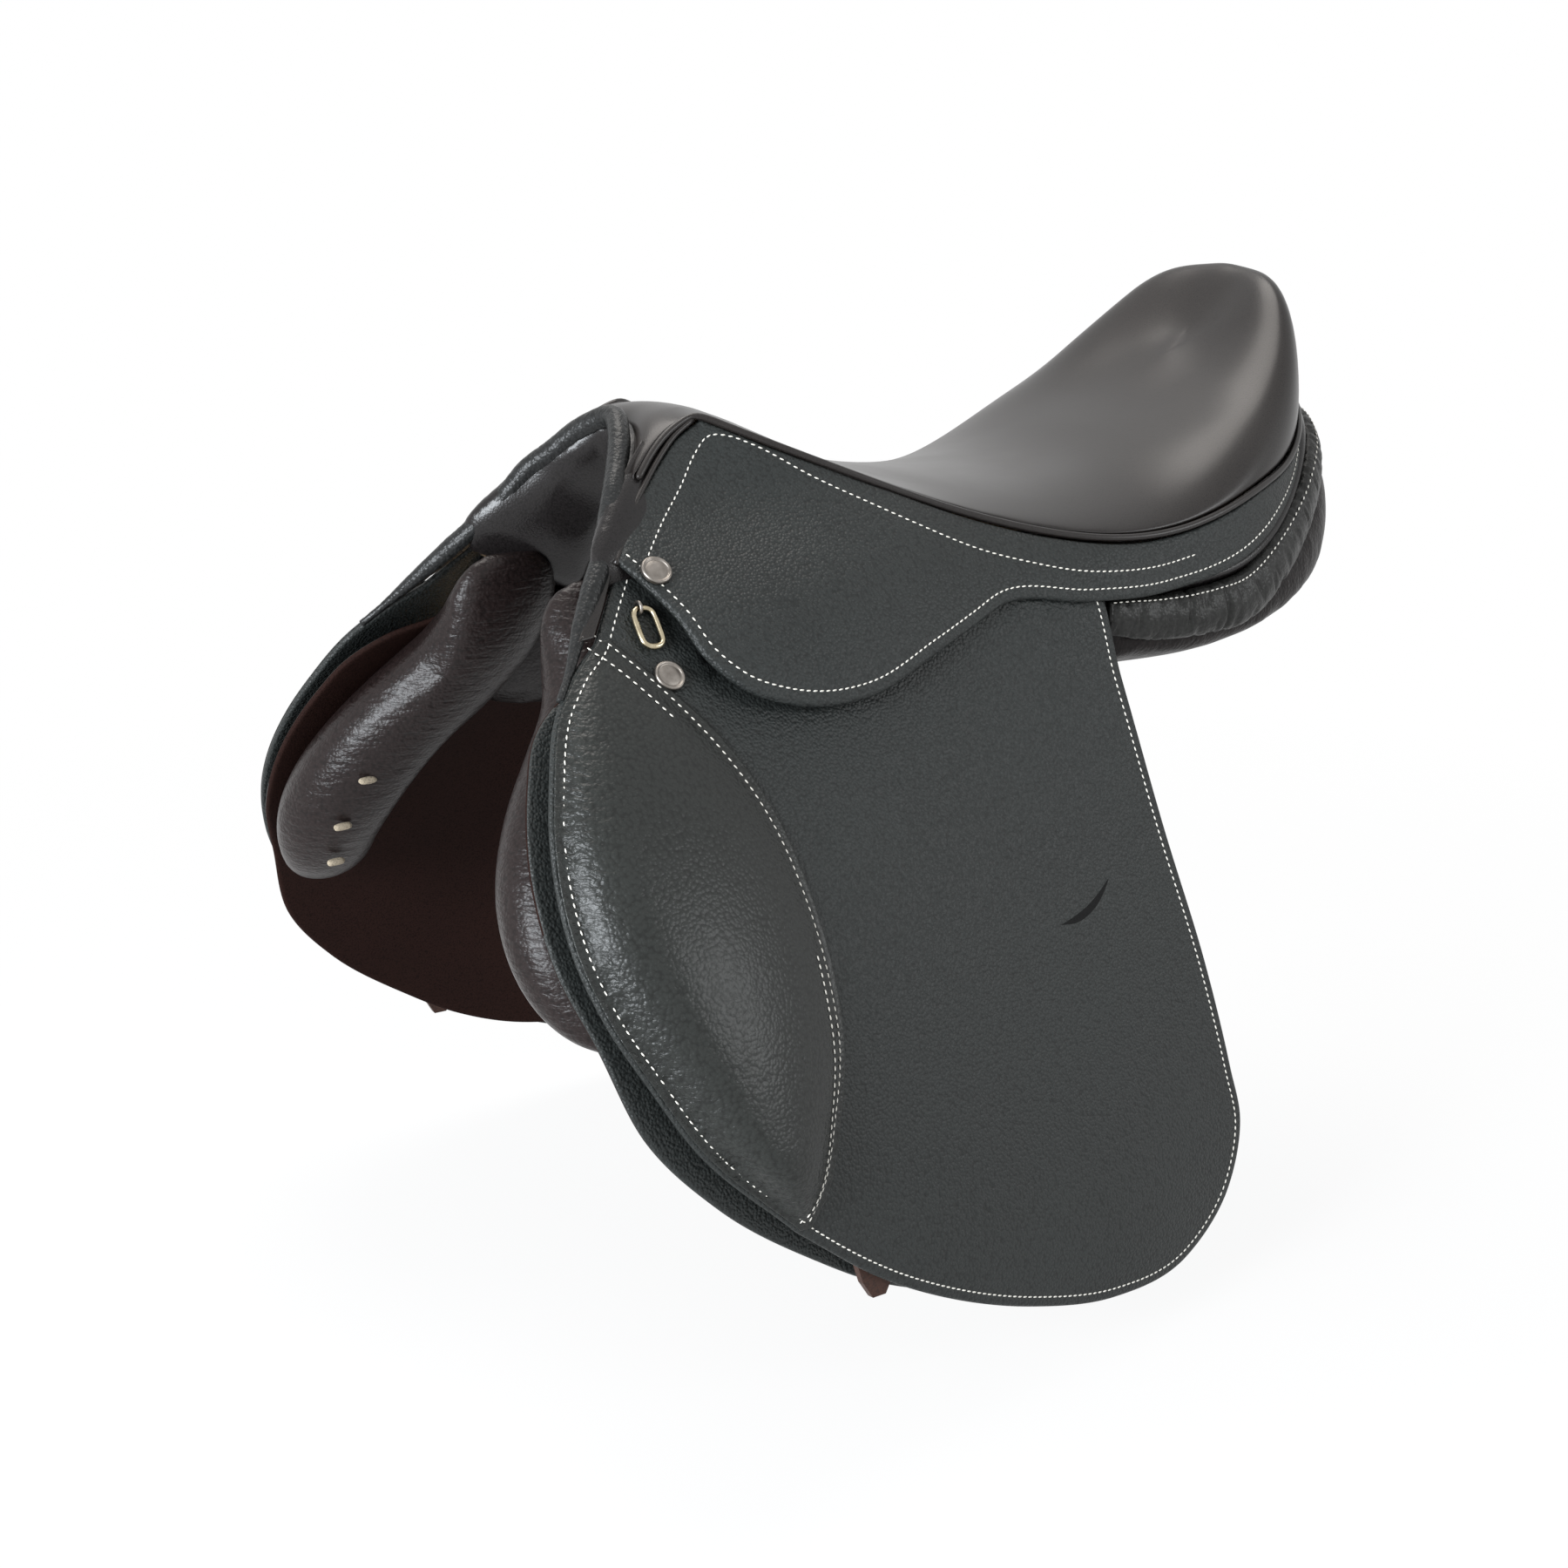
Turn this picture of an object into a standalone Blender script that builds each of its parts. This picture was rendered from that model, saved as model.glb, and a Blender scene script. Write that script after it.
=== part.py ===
"""All-purpose English saddle, built on its tree from the inside out.

Frame: +Z up, -X towards the pommel, -Y the near (left) side, metres.
The origin lies on the line of the horse's back, below the rider's seat.
Patterns and stations are given in millimetres and read through line() and pattern().
"""

import math

import bmesh
import bpy
import numpy as np
from mathutils import Matrix, Vector

MM = 0.001

# Clearances
GAP = 0.4 * MM
STRAP_PLAY = 1.2 * MM
SKIRT_PLAY = 0.8 * MM

# Seat plan
SEAT_HALF_WIDTH = 125 * MM
ROUND_START = 120 * MM
CANTLE_REACH = 287 * MM
CANTLE_SQUARENESS = 2.4
SPINE_BEND = 1.53
SEAT_PADDING = 12 * MM
POMMEL_PADDING = 5 * MM

# Flank: the A-shaped side that skirts, flaps and panels follow
HINGE_LEVEL = -100 * MM
HINGE_HALF_WIDTH = 123.5 * MM
HINGE_STATION = -200 * MM
HINGE_SPREAD = 0.05
FLAP_DROP = 304 * MM
PATTERN_DROP = 304 * MM

# Leather
FLAP_THICKNESS = 4.0 * MM
SKIRT_THICKNESS = 4.6 * MM
SWEAT_FLAP_THICKNESS = 3.4 * MM
STRAP_THICKNESS = 4.0 * MM
STRAP_WIDTH = 26 * MM
LINING_THICKNESS = 2.0 * MM

# Tree and steel
HEAD_THICKNESS = 5.6 * MM
RAIL_THICKNESS = 9 * MM
GULLET_PLATE_THICKNESS = 2.0 * MM
WEB_THICKNESS = 2.2 * MM
CROSS_WEB_START = 120 * MM
CROSS_WEB_END = 196 * MM
SPRING_START = -100 * MM
SPRING_END = 213 * MM
BAR_PLATE_THICKNESS = 2.8 * MM
BAR_THICKNESS = 4.8 * MM
BAR_HEIGHT = 11 * MM
BAR_PLAY = 0.8 * MM
BAR_CHAMFER = 0.8 * MM
CATCH_LENGTH = 22 * MM

# Rolls, cords and trim
ARCH_ROLL_RADIUS = 5.0 * MM
PIPING_RADIUS = 1.4 * MM
CANTLE_ROLL_RADIUS = 3.8 * MM
FACING_HEIGHT = 11 * MM
FACING_THICKNESS = 6 * MM
SKIRT_RISE = 11 * MM
KNEE_ROLL_HEIGHT = 19 * MM

# Hardware
STUD_RADIUS = 7.8 * MM
STUD_HEIGHT = 2.4 * MM
DEE_WIRE_RADIUS = 1.6 * MM
DEE_HALF_WIDTH = 5.4 * MM
DEE_HALF_HEIGHT = 9.9 * MM
DEE_PLAY = 0.8 * MM
TIE_RADIUS = 1.3 * MM
TIE_SPAN = 9 * MM

# Channel and panels
CHANNEL_HALF_WIDTH = 32 * MM
PANEL_BELLY = 13 * MM

# Depths below the flap's outer face, from the leather that lies over each layer
FLAP_INNER = FLAP_THICKNESS
STRAP_OUTER = FLAP_INNER + STRAP_PLAY
STRAP_INNER = STRAP_OUTER + STRAP_THICKNESS
BAR_PLATE_OUTER = FLAP_INNER + GAP
BAR_PLATE_INNER = BAR_PLATE_OUTER + BAR_PLATE_THICKNESS
HEAD_OUTER = BAR_PLATE_INNER + 2 * GAP
HEAD_INNER = HEAD_OUTER + HEAD_THICKNESS
SWEAT_OUTER = max(HEAD_INNER, STRAP_INNER) + 0.6 * MM
SWEAT_INNER = SWEAT_OUTER + SWEAT_FLAP_THICKNESS
PANEL_OUTER = SWEAT_INNER + 1.5 * GAP

# Station lines, millimetres: station along the seat's edge, then the value there
WELT_OUT = ((-127, -95), (-88, -74.5), (-44, -58), (1, -42), (45, -23), (88, -9), (125, -5), (355, -5))
WELT_LEVEL = (
    (-127, 37), (-88, 19), (-44, 0.5), (1, -17), (45, -29), (88, -34), (125, -31),
    (157, -23), (190, -12), (227, -1), (258, 14), (300, 32), (355, 42),
)
SHOULDER_LEVEL = (
    (-127, 33), (-92, 22), (-46, 4), (1, -10), (45, -15), (88, -16), (125, -10),
    (157, 3), (190, 26), (227, 56), (258, 92), (300, 135), (355, 146),
)
CENTRE_LEVEL = (
    (-156, 33), (-146, 38), (-126, 43), (-98, 35), (-60, 16), (-25, 5), (5, 0),
    (40, -4), (80, -5.5), (120, -1.5), (160, 13), (200, 31), (225, 50),
)
HEM_OUT = ((-300, 106), (-60, 106), (30, 102), (120, 88))
TOP_SLOPE = ((-300, 0.33), (-127, 0.33), (-46, 0.9), (1, 1.2), (60, 1.0), (125, 0.45), (200, 0.25), (355, 0.15))
HINGE_SLOPE = ((-300, 0.75), (-200, 0.75), (0, 0.45), (120, 0.35), (355, 0.3))
TRIM_LEVEL = (
    (88, -57), (112, -57.5), (150, -55), (172, -51.5), (209, -33), (235, -15.5), (262, 5), (300, 24), (355, 34),
)
TRIM_DEPTH = ((88, 4.4), (160, 4.4), (205, -0.8), (355, -0.8))
REAR_PROFILE = ((15, 9), (21, 17), (38, 24.5), (56, 25), (70, 22), (90, 14))
PANEL_COVER = ((-200, 18.4), (52, 18.4), (78, 6.5), (112, 2.5), (355, 2.5))
PANEL_TOP = ((-190, -50), (-100, -50), (60, -58), (96, -72), (355, -72))
PANEL_EDGE = ((-190, -122), (-100, -128), (0, -108), (90, -93), (150, -91), (200, -82), (250, -64), (290, -48), (330, -40))
CHANNEL_X = ((-190, -190), (120, 120), (200, 186), (270, 232), (326, 258))
CHANNEL_HALF = ((-190, 56), (-150, 50), (-110, 42), (-60, 32), (326, 32))
CHANNEL_LEVEL = ((-190, -58), (-60, -44), (60, -42), (160, -34), (260, -20))
CHANNEL_FOOT = ((-190, -78), (-60, -80), (60, -84), (160, -82), (260, -56))

# Flat patterns, millimetres: station along the side, then level
FLAP_FRONT = (
    (-218, -57), (-236, -69), (-253, -86), (-266, -110), (-274, -130), (-279, -154),
    (-279, -177), (-272, -205), (-258, -234), (-241, -264), (-194, -312),
)
FLAP_HEM = ((-194, -312), (-147, -347), (-102, -371), (-52, -390), (8, -403), (64, -400), (103, -375), (118, -339))
FLAP_REAR = ((118, -339), (113, -309), (102, -250), (87, -179), (78, -111), (75, -84), (70, -52))
FLAP_TOP = ((70, -52), (45, -42), (1, -29), (-46, -11), (-92, 8), (-128, 22), (-148, 17), (-168, -6), (-192, -29), (-218, -57))
SKIRT_FRONT = ((-194, -28), (-175, -6), (-152.5, 15.5), (-140, 26), (-126.5, 33))
SKIRT_EDGE = (
    (258, 11), (235, -11), (209, -28), (172, -47), (112, -60), (59, -61), (6, -59), (-11, -66),
    (-40, -78), (-87, -95), (-113, -97), (-136, -94), (-157, -86), (-171, -72), (-177, -55), (-183.5, -43), (-194, -28),
)
SWEAT_FLAP_EDGE = (
    (-214, -66), (-240, -74), (-259, -88), (-269, -105), (-281, -139), (-282, -178), (-271, -214), (-257, -257),
    (-225, -296), (-175, -334), (-140, -355), (-95, -372), (-45, -378), (10, -370), (50, -345), (66, -300),
    (64, -230), (56, -160), (50, -110), (46, -76),
)
SWEAT_FLAP_TOP = ((46, -76), (0, -56), (-60, -48), (-130, -48), (-190, -54), (-214, -66))
KNEE_FRONT = ((-256, -104), (-268, -130), (-272, -154), (-272, -177), (-265, -204), (-251, -232), (-235, -260), (-195, -305))
KNEE_REAR = ((-177, -104), (-163, -134), (-155, -176), (-154, -210), (-157, -236), (-167, -268), (-180, -297), (-190, -306))
SEAM = ((-127, 37), (-143.5, 29), (-157, 18), (-166.5, 8))
PANEL_ROLL = (
    (-203, -60, 12), (-226, -78, 18), (-250, -104, 23), (-263, -128, 26), (-268, -152, 27),
    (-263, -182, 26), (-255, -206, 21), (-250, -219, 12), (-248, -224, 4),
)
ARCH = (
    (-155, 0, 35), (-161, 18, 28), (-170, 31, 16), (-180, 43, 4),
    (-185.5, 48.5, -5.5), (-197, 60.5, -23), (-210, 71, -38), (-221, 81, -51),
)
POMMEL_END = 3


def line(table, station):
    """Smooth curve through a few stations; millimetres in the table, metres in and out."""
    xs = np.array([row[0] for row in table], float)
    ys = np.array([row[1] for row in table], float)
    steps = np.diff(xs)
    rises = np.diff(ys) / steps
    slopes = np.empty(len(xs))
    slopes[0] = rises[0]
    slopes[-1] = rises[-1]
    slopes[1:-1] = (rises[:-1] * steps[1:] + rises[1:] * steps[:-1]) / (steps[1:] + steps[:-1])
    at = np.clip(np.asarray(station, float) / MM, xs[0], xs[-1])
    i = np.clip(np.searchsorted(xs, at) - 1, 0, len(xs) - 2)
    u = (at - xs[i]) / steps[i]
    start = (2 * u**3 - 3 * u**2 + 1) * ys[i] + (u**3 - 2 * u**2 + u) * steps[i] * slopes[i]
    finish = (3 * u**2 - 2 * u**3) * ys[i + 1] + (u**3 - u**2) * steps[i] * slopes[i + 1]
    return (start + finish) * MM


def slope_line(table, station):
    """The same curve for a table of plain ratios."""
    return line(table, station) / MM


def smooth_path(points, spacing):
    """Evenly spaced points on a smooth curve through the given ones."""
    points = np.asarray(points, float)
    chord = np.concatenate(([0], np.cumsum(np.linalg.norm(np.diff(points, axis=0), axis=1))))
    count = max(2, int(round(chord[-1] / spacing)) + 1)
    at = np.linspace(0, chord[-1], count)
    tables = [np.column_stack((chord, points[:, axis])) / MM for axis in range(points.shape[1])]
    return np.column_stack([line(table, at) for table in tables])


def pattern(points, spacing=13 * MM):
    """A run of a flat pattern in metres; below the hinge it lengthens with the flap's drop."""
    run = smooth_path(np.asarray(points, float) * MM, spacing)
    below = run[:, 1] < HINGE_LEVEL
    run[below, 1] = HINGE_LEVEL + (run[below, 1] - HINGE_LEVEL) * FLAP_DROP / PATTERN_DROP
    return run


def outline(*runs, spacing=13 * MM):
    """Closes several runs of a pattern into one outline without doubled corners."""
    points = []
    for run in runs:
        points.extend(pattern(run, spacing)[:-1])
    return points


def rear_arc():
    """The seat's plan from the flank round to the middle of the cantle."""
    angle = np.linspace(0, math.pi / 2, 1201)
    power = 2 / CANTLE_SQUARENESS
    x = ROUND_START + (CANTLE_REACH - ROUND_START) * np.sin(angle) ** power
    y = SEAT_HALF_WIDTH * np.cos(angle) ** power
    run = np.concatenate(([0], np.cumsum(np.hypot(np.diff(x), np.diff(y)))))
    return x, y, run


ARC_X, ARC_Y, ARC_RUN = rear_arc()
REAR_MIDDLE = ROUND_START + ARC_RUN[-1]


def perimeter(t):
    """Plan point and outward normal at a station of the seat's edge."""
    t = np.asarray(t, float)
    run = np.maximum(t - ROUND_START, 0)
    x = np.where(t < ROUND_START, t, np.interp(run, ARC_RUN, ARC_X))
    y = np.interp(run, ARC_RUN, ARC_Y)
    length = CANTLE_REACH - ROUND_START
    nx = (np.maximum(x - ROUND_START, 0) / length) ** (CANTLE_SQUARENESS - 1) / length
    ny = (np.maximum(y, 0) / SEAT_HALF_WIDTH) ** (CANTLE_SQUARENESS - 1) / SEAT_HALF_WIDTH
    size = np.hypot(nx, ny)
    return x, y, nx / size, ny / size


def flank_out(t, z):
    """How far the flap's outer face stands out from the seat's edge in plan."""
    top_out = line(WELT_OUT, t)
    top_level = line(WELT_LEVEL, t)
    hinge_out = HINGE_HALF_WIDTH - SEAT_HALF_WIDTH + (t - HINGE_STATION) * HINGE_SPREAD
    hem_out = line(HEM_OUT, t)
    top_slope = slope_line(TOP_SLOPE, t)
    hinge_slope = slope_line(HINGE_SLOPE, t)
    drop = top_level - HINGE_LEVEL
    u = (top_level - z) / drop
    above = np.minimum(u, 0) * drop * top_slope
    u = np.clip(u, 0, 1)
    upper = (
        (2 * u**3 - 3 * u**2 + 1) * top_out
        + (u**3 - 2 * u**2 + u) * top_slope * drop
        + (3 * u**2 - 2 * u**3) * hinge_out
        + (u**3 - u**2) * hinge_slope * drop
        + above
    )
    share = np.clip((HINGE_LEVEL - z) / FLAP_DROP, 0, 1)
    fullness = hinge_slope * FLAP_DROP / (hem_out - hinge_out)
    lower = hinge_out + (hem_out - hinge_out) * (1 - (1 - share) ** fullness)
    return np.where(z > HINGE_LEVEL, upper, lower)


def on_flank(t, z, depth, side=1):
    """Point at a depth below the flap's outer face, measured square to it."""
    t = np.asarray(t, float)
    z = np.asarray(z, float)
    step = 0.5 * MM
    slope = (flank_out(t, z - step) - flank_out(t, z + step)) / (2 * step)
    size = np.sqrt(1 + slope**2)
    out = flank_out(t, z) - depth / size
    x, y, nx, ny = perimeter(t)
    return np.stack([x + nx * out, side * (y + ny * out), z - depth * slope / size + 0 * x], -1)


def flank_frame(t, z, depth, side):
    """Point with its rearward, upward and outward directions on a layer of the flank."""
    step = 3 * MM
    layer = depth if callable(depth) else (lambda t, z: depth)

    def spot(a, b):
        return Vector(on_flank(t + a, z + b, layer(t + a, z + b), side))

    along = spot(step, 0) - spot(-step, 0)
    up = spot(0, step) - spot(0, -step)
    out = (along.cross(up) * -side).normalized()
    along.normalize()
    up = (up - along * up.dot(along)).normalized()
    return spot(0, 0), along, up, out


def bell(value, centre, reach):
    """Smooth hump from 1 at the centre to 0 at its reach."""
    u = np.clip(np.abs(value - centre) / reach, 0, 1)
    return (1 - u**2) ** 2


def skirt_inner(t, z):
    """The skirt stands off the flap over the stirrup bar."""
    rise = SKIRT_RISE * bell(t, -112 * MM, 130 * MM) * bell(z, -60 * MM, 62 * MM)
    return -SKIRT_PLAY - rise


def skirt_outer(t, z):
    return skirt_inner(t, z) - SKIRT_THICKNESS


# Seat surface: ribs from the centre line out to the welt, then down the pommel's sides
POMMEL_RUN = 100 * MM
POMMEL_START = -127 * MM
CROWN_SHARE = 0.3
CROWN_STATION = POMMEL_START - POMMEL_RUN * CROWN_SHARE
WELT_PLAY = 2.2 * MM
SEAT_EDGE_DEPTH = -5.4 * MM
SEAT_TUCK = 7 * MM
SEAM_PLAY = 2.8 * MM


def arch_path(spacing=9 * MM):
    return smooth_path(np.asarray(ARCH, float) * MM, spacing)


def seam_point(share, play, depth):
    """Point on the seam between pommel cover and skirt, moved forward and up from it by its play."""
    seam = np.asarray(SEAM)
    chord = np.concatenate(([0], np.cumsum(np.linalg.norm(np.diff(seam, axis=0), axis=1))))
    at = share * chord[-1] * MM
    t = line(np.column_stack((chord, seam[:, 0])), at) - 0.8 * play
    z = line(np.column_stack((chord, seam[:, 1])), at) + 0.6 * play
    return on_flank(t, z, depth)


def pommel_edges(share):
    """Front edge on the arch and rear edge on the skirt seam, for a share of the way down."""
    crown = CROWN_SHARE
    chord = np.concatenate(([0], np.cumsum(np.linalg.norm(np.diff(np.asarray(ARCH), axis=0), axis=1))))
    down = max(share - crown, 0) / (1 - crown) * chord[POMMEL_END]
    front = np.array([line(np.column_stack((chord, np.asarray(ARCH)[:, axis])), down * MM) for axis in range(3)])
    rear = seam_point(share, SEAM_PLAY, SEAT_EDGE_DEPTH)
    retreat = ARCH_ROLL_RADIUS + 3 * GAP
    if share < crown:
        x = POMMEL_START + (front[0] + retreat + 1 * MM - POMMEL_START) * share / crown
        return np.array([x, 0, float(line(CENTRE_LEVEL, x))]), rear
    aside = min(front[1] / (30 * MM), 1)
    towards = (rear - front) / np.linalg.norm(rear - front) * (1, aside, aside) + (0.8, 0, 0)
    return front + towards / np.linalg.norm(towards) * retreat, rear


def seat_point(t, s):
    """Point of the seat's upper surface on one rib: s is 0 at the centre line, 1 at the welt."""
    if t < POMMEL_START:
        front, rear = pommel_edges((POMMEL_START - t) / POMMEL_RUN)
        swell = 2.5 * MM * 4 * s * (1 - s)
        outward = np.array([-0.3, 0.6, 0.7])
        return front + (rear - front) * s + outward * swell
    edge = on_flank(t, line(WELT_LEVEL, t) + WELT_PLAY, SEAT_EDGE_DEPTH)
    spine_x = t - SPINE_BEND * max(t - 60 * MM, 0) ** 2
    wrap = min(max((t - 60 * MM) / (240 * MM), 0), 1)
    wrap = wrap * wrap * (3 - 2 * wrap)
    flatness = 3 + 5 * wrap
    roundness = 1.25 + 0.95 * wrap
    centre = float(line(CENTRE_LEVEL, spine_x))
    shoulder = float(line(SHOULDER_LEVEL, t))
    fall = 1 - (1 - min(s, 1) ** flatness) ** (1 / roundness)
    z = centre + (shoulder - centre) * s**2 - (shoulder - edge[2]) * fall
    return np.array([spine_x + (edge[0] - spine_x) * s, edge[1] * s, z])


def seat_layer(t, s, depth, side=1):
    """Point at a depth below the seat's surface; under the edge it is tucked in, clear of the skirt."""
    mirror = np.array((1, side, 1))
    if s == 1:
        at = max(t, POMMEL_START)
        level = line(WELT_LEVEL, at) + WELT_PLAY
        edge = seat_point(t, 1)
        inward = on_flank(at, level, SEAT_EDGE_DEPTH + depth) - on_flank(at, level, SEAT_EDGE_DEPTH)
        return (edge + inward) * mirror
    step_t = 3 * MM
    step_s = 0.01
    width = np.linalg.norm(seat_point(t, 1) - seat_point(t, 0))
    s = s - (min(SEAT_TUCK / width, 0.3) * s**6 if depth > 0 else 0)
    later = min(t + step_t, REAR_MIDDLE)
    earlier = t - step_t
    if s == 0 and t >= CROWN_STATION:
        earlier = max(earlier, CROWN_STATION)
    inside = max(s, step_s)
    along = seat_point(later, inside) - seat_point(earlier, inside)
    across = seat_point(t, inside + step_s) - seat_point(t, inside - step_s)
    normal = np.cross(along, across)
    point = seat_point(t, s)
    if abs(point[1]) < 1e-7 or t > REAR_MIDDLE - 1e-7:
        normal[1] = 0
    normal = normal / np.linalg.norm(normal)
    return (point - normal * depth) * mirror


def material(name, colour, roughness, metallic=0.0):
    made = bpy.data.materials.new(name)
    made.use_nodes = True
    shader = made.node_tree.nodes["Principled BSDF"]
    shader.inputs["Base Color"].default_value = (*colour, 1)
    shader.inputs["Roughness"].default_value = roughness
    shader.inputs["Metallic"].default_value = metallic
    return made


FINISHES = {
    "seat_leather": ((0.030, 0.027, 0.027), 0.35, 0.0),
    "flap_leather": ((0.060, 0.066, 0.062), 0.6, 0.0),
    "panel_leather": ((0.035, 0.033, 0.034), 0.5, 0.0),
    "under_leather": ((0.020, 0.010, 0.009), 0.55, 0.0),
    "strap_leather": ((0.090, 0.035, 0.020), 0.55, 0.0),
    "thread": ((0.78, 0.66, 0.50), 0.8, 0.0),
    "laminated_wood": ((0.55, 0.36, 0.20), 0.5, 0.0),
    "steel": ((0.45, 0.46, 0.48), 0.35, 1.0),
    "antique_nickel": ((0.50, 0.44, 0.36), 0.35, 1.0),
    "webbing": ((0.60, 0.55, 0.45), 0.85, 0.0),
}


def add_object(name, points, faces, finish, pivot=None, smooth=True):
    """One closed piece on the saddle's empty, its origin on its pivot where it moves."""
    origin = np.zeros(3) if pivot is None else np.asarray(pivot, float)
    mesh = bpy.data.meshes.new(name)
    mesh.from_pydata([tuple(np.asarray(point) - origin) for point in points], [], [tuple(f) for f in faces])
    model = bmesh.new()
    model.from_mesh(mesh)
    bmesh.ops.recalc_face_normals(model, faces=model.faces)
    model.to_mesh(mesh)
    model.free()
    if smooth:
        mesh.shade_smooth()
        mesh.set_sharp_from_angle(angle=math.radians(35))
    piece = bpy.data.objects.new(name, mesh)
    colour, roughness, metallic = FINISHES[finish]
    mesh.materials.append(material(name + "_" + finish, colour, roughness, metallic))
    bpy.context.scene.collection.objects.link(piece)
    piece.parent = SADDLE
    piece.location = origin
    return piece


def thicken(name, outer, inner, faces, finish, pivot=None):
    """Closes an open surface with its inner copy and a rim along every free edge."""
    index = {}
    keep = []
    number = []
    for i, point in enumerate(outer):
        key = tuple(int(round(value / (0.001 * MM))) for value in point)
        if key not in index:
            index[key] = len(keep)
            keep.append(i)
        number.append(index[key])
    count = len(keep)
    points = [outer[i] for i in keep] + [inner[i] for i in keep]
    solid = []
    edges = {}
    for face in faces:
        corners = [number[i] for i in face]
        corners = [c for i, c in enumerate(corners) if c != corners[i - 1]]
        if len(corners) < 3:
            continue
        solid.append(corners)
        solid.append([c + count for c in reversed(corners)])
        for a, b in zip(corners, corners[1:] + corners[:1]):
            edges[(a, b)] = edges.get((a, b), 0) + 1
    for a, b in edges:
        if (b, a) not in edges:
            solid.append([b, a, a + count, b + count])
    return add_object(name, points, solid, finish, pivot)


def constant(depth):
    return lambda t, z: depth


UPPER_ROW = 12.5 * MM
LOWER_ROW = 25 * MM


def lattice(low, high, pitch):
    """Whole multiples of a pitch between two values."""
    return [step * pitch for step in range(int(math.ceil(low / pitch)), int(math.floor(high / pitch)) + 1)]


def wrapped(name, shape, outer, inner, side, finish, pivot=None, trims=(), columns=40 * MM, window=None):
    """A flat pattern laid on the flank between two depths; trims cut it along straight lines."""
    flat = bmesh.new()
    flat.faces.new([flat.verts.new((t, z, 0)) for t, z in shape])
    snap = 0.7 * MM
    for place, away in trims:
        everything = flat.verts[:] + flat.edges[:] + flat.faces[:]
        bmesh.ops.bisect_plane(
            flat, geom=everything, dist=0.05 * MM, plane_co=(*place, 0), plane_no=(*away, 0), clear_outer=True
        )
    stations = [v.co.x for v in flat.verts]
    levels = [v.co.y for v in flat.verts]
    cuts = [((at, 0, 0), (1, 0, 0)) for at in lattice(min(stations), max(stations), columns)]
    fine = lattice(max(min(levels), HINGE_LEVEL), max(levels), UPPER_ROW)
    cuts += [((0, at, 0), (0, 1, 0)) for at in fine + lattice(min(levels), min(HINGE_LEVEL, max(levels)), LOWER_ROW)]
    if window:
        cuts += [((at, 0, 0), (1, 0, 0)) for at in window[:2]]
        cuts += [((0, at, 0), (0, 1, 0)) for at in window[2:]]
    for place, direction in cuts:
        everything = flat.verts[:] + flat.edges[:] + flat.faces[:]
        bmesh.ops.bisect_plane(flat, geom=everything, dist=snap, plane_co=place, plane_no=direction)
    if window:
        middles = [(face, face.calc_center_median()) for face in flat.faces]
        inside = [f for f, c in middles if window[0] < c.x < window[1] and window[2] < c.y < window[3]]
        bmesh.ops.delete(flat, geom=inside, context="FACES")
    bmesh.ops.triangulate(flat, faces=flat.faces[:], quad_method="FIXED", ngon_method="BEAUTY")
    flat.verts.index_update()
    spots = [(v.co.x, v.co.y) for v in flat.verts]
    faces = [[v.index for v in face.verts] for face in flat.faces]
    flat.free()
    outside = [on_flank(t, z, outer(t, z), side) for t, z in spots]
    inside = [on_flank(t, z, inner(t, z), side) for t, z in spots]
    return thicken(name, outside, inside, faces, finish, pivot)


def sweep(name, path, outs, section, finish, pivot=None, closed=False):
    """Carries a section along a path; the section may change from point to point."""
    path = [Vector(point) for point in path]
    count = len(path)
    points = []
    for i, centre in enumerate(path):
        before = path[i - 1] if i or closed else path[i]
        after = path[(i + 1) % count] if i + 1 < count or closed else path[i]
        tangent = (after - before).normalized()
        out = Vector(outs[i])
        out = (out - tangent * out.dot(tangent)).normalized()
        up = tangent.cross(out)
        shape = section(i / max(count - 1, 1)) if callable(section) else section
        points.extend(centre + out * a + up * b for a, b in shape)
    ring = len(points) // count
    faces = []
    for i in range(count if closed else count - 1):
        for j in range(ring):
            k = (j + 1) % ring
            n = (i + 1) % count
            faces.append([i * ring + j, i * ring + k, n * ring + k, n * ring + j])
    if not closed:
        faces.append(list(range(ring))[::-1])
        faces.append([(count - 1) * ring + j for j in range(ring)])
    return add_object(name, [tuple(point) for point in points], faces, finish, pivot)


def circle(radius, sides, squash=1.0):
    """Round section, first across, then up."""
    angles = [math.tau * (i + 0.5) / sides for i in range(sides)]
    return [(radius * squash * math.cos(a), radius * math.sin(a)) for a in angles]


def bar_section(width, height, chamfer):
    """Flat bar with broken edges: width across, height up."""
    w = width / 2
    h = height / 2
    c = chamfer
    return [(w, -h + c), (w, h - c), (w - c, h), (-w + c, h), (-w, h - c), (-w, -h + c), (-w + c, -h), (w - c, -h)]


def mirrored(path, outs):
    """Right half followed by its mirror image, from one side over the middle to the other."""
    left = [(x, -y, z) for x, y, z in path]
    left_outs = [(x, -y, z) for x, y, z in outs]
    if abs(path[0][1]) < 1e-6:
        return left[::-1] + list(path[1:]), left_outs[::-1] + list(outs[1:])
    return left + list(path[-2::-1]), left_outs + list(outs[-2::-1])


# The saddle hangs from one empty at the origin
bpy.ops.object.select_all(action="DESELECT")
for old in list(bpy.data.objects):
    bpy.data.objects.remove(old, do_unlink=True)

SADDLE = bpy.data.objects.new("saddle", None)
bpy.context.scene.collection.objects.link(SADDLE)
SIDES = (("left", -1), ("right", 1))


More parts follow.
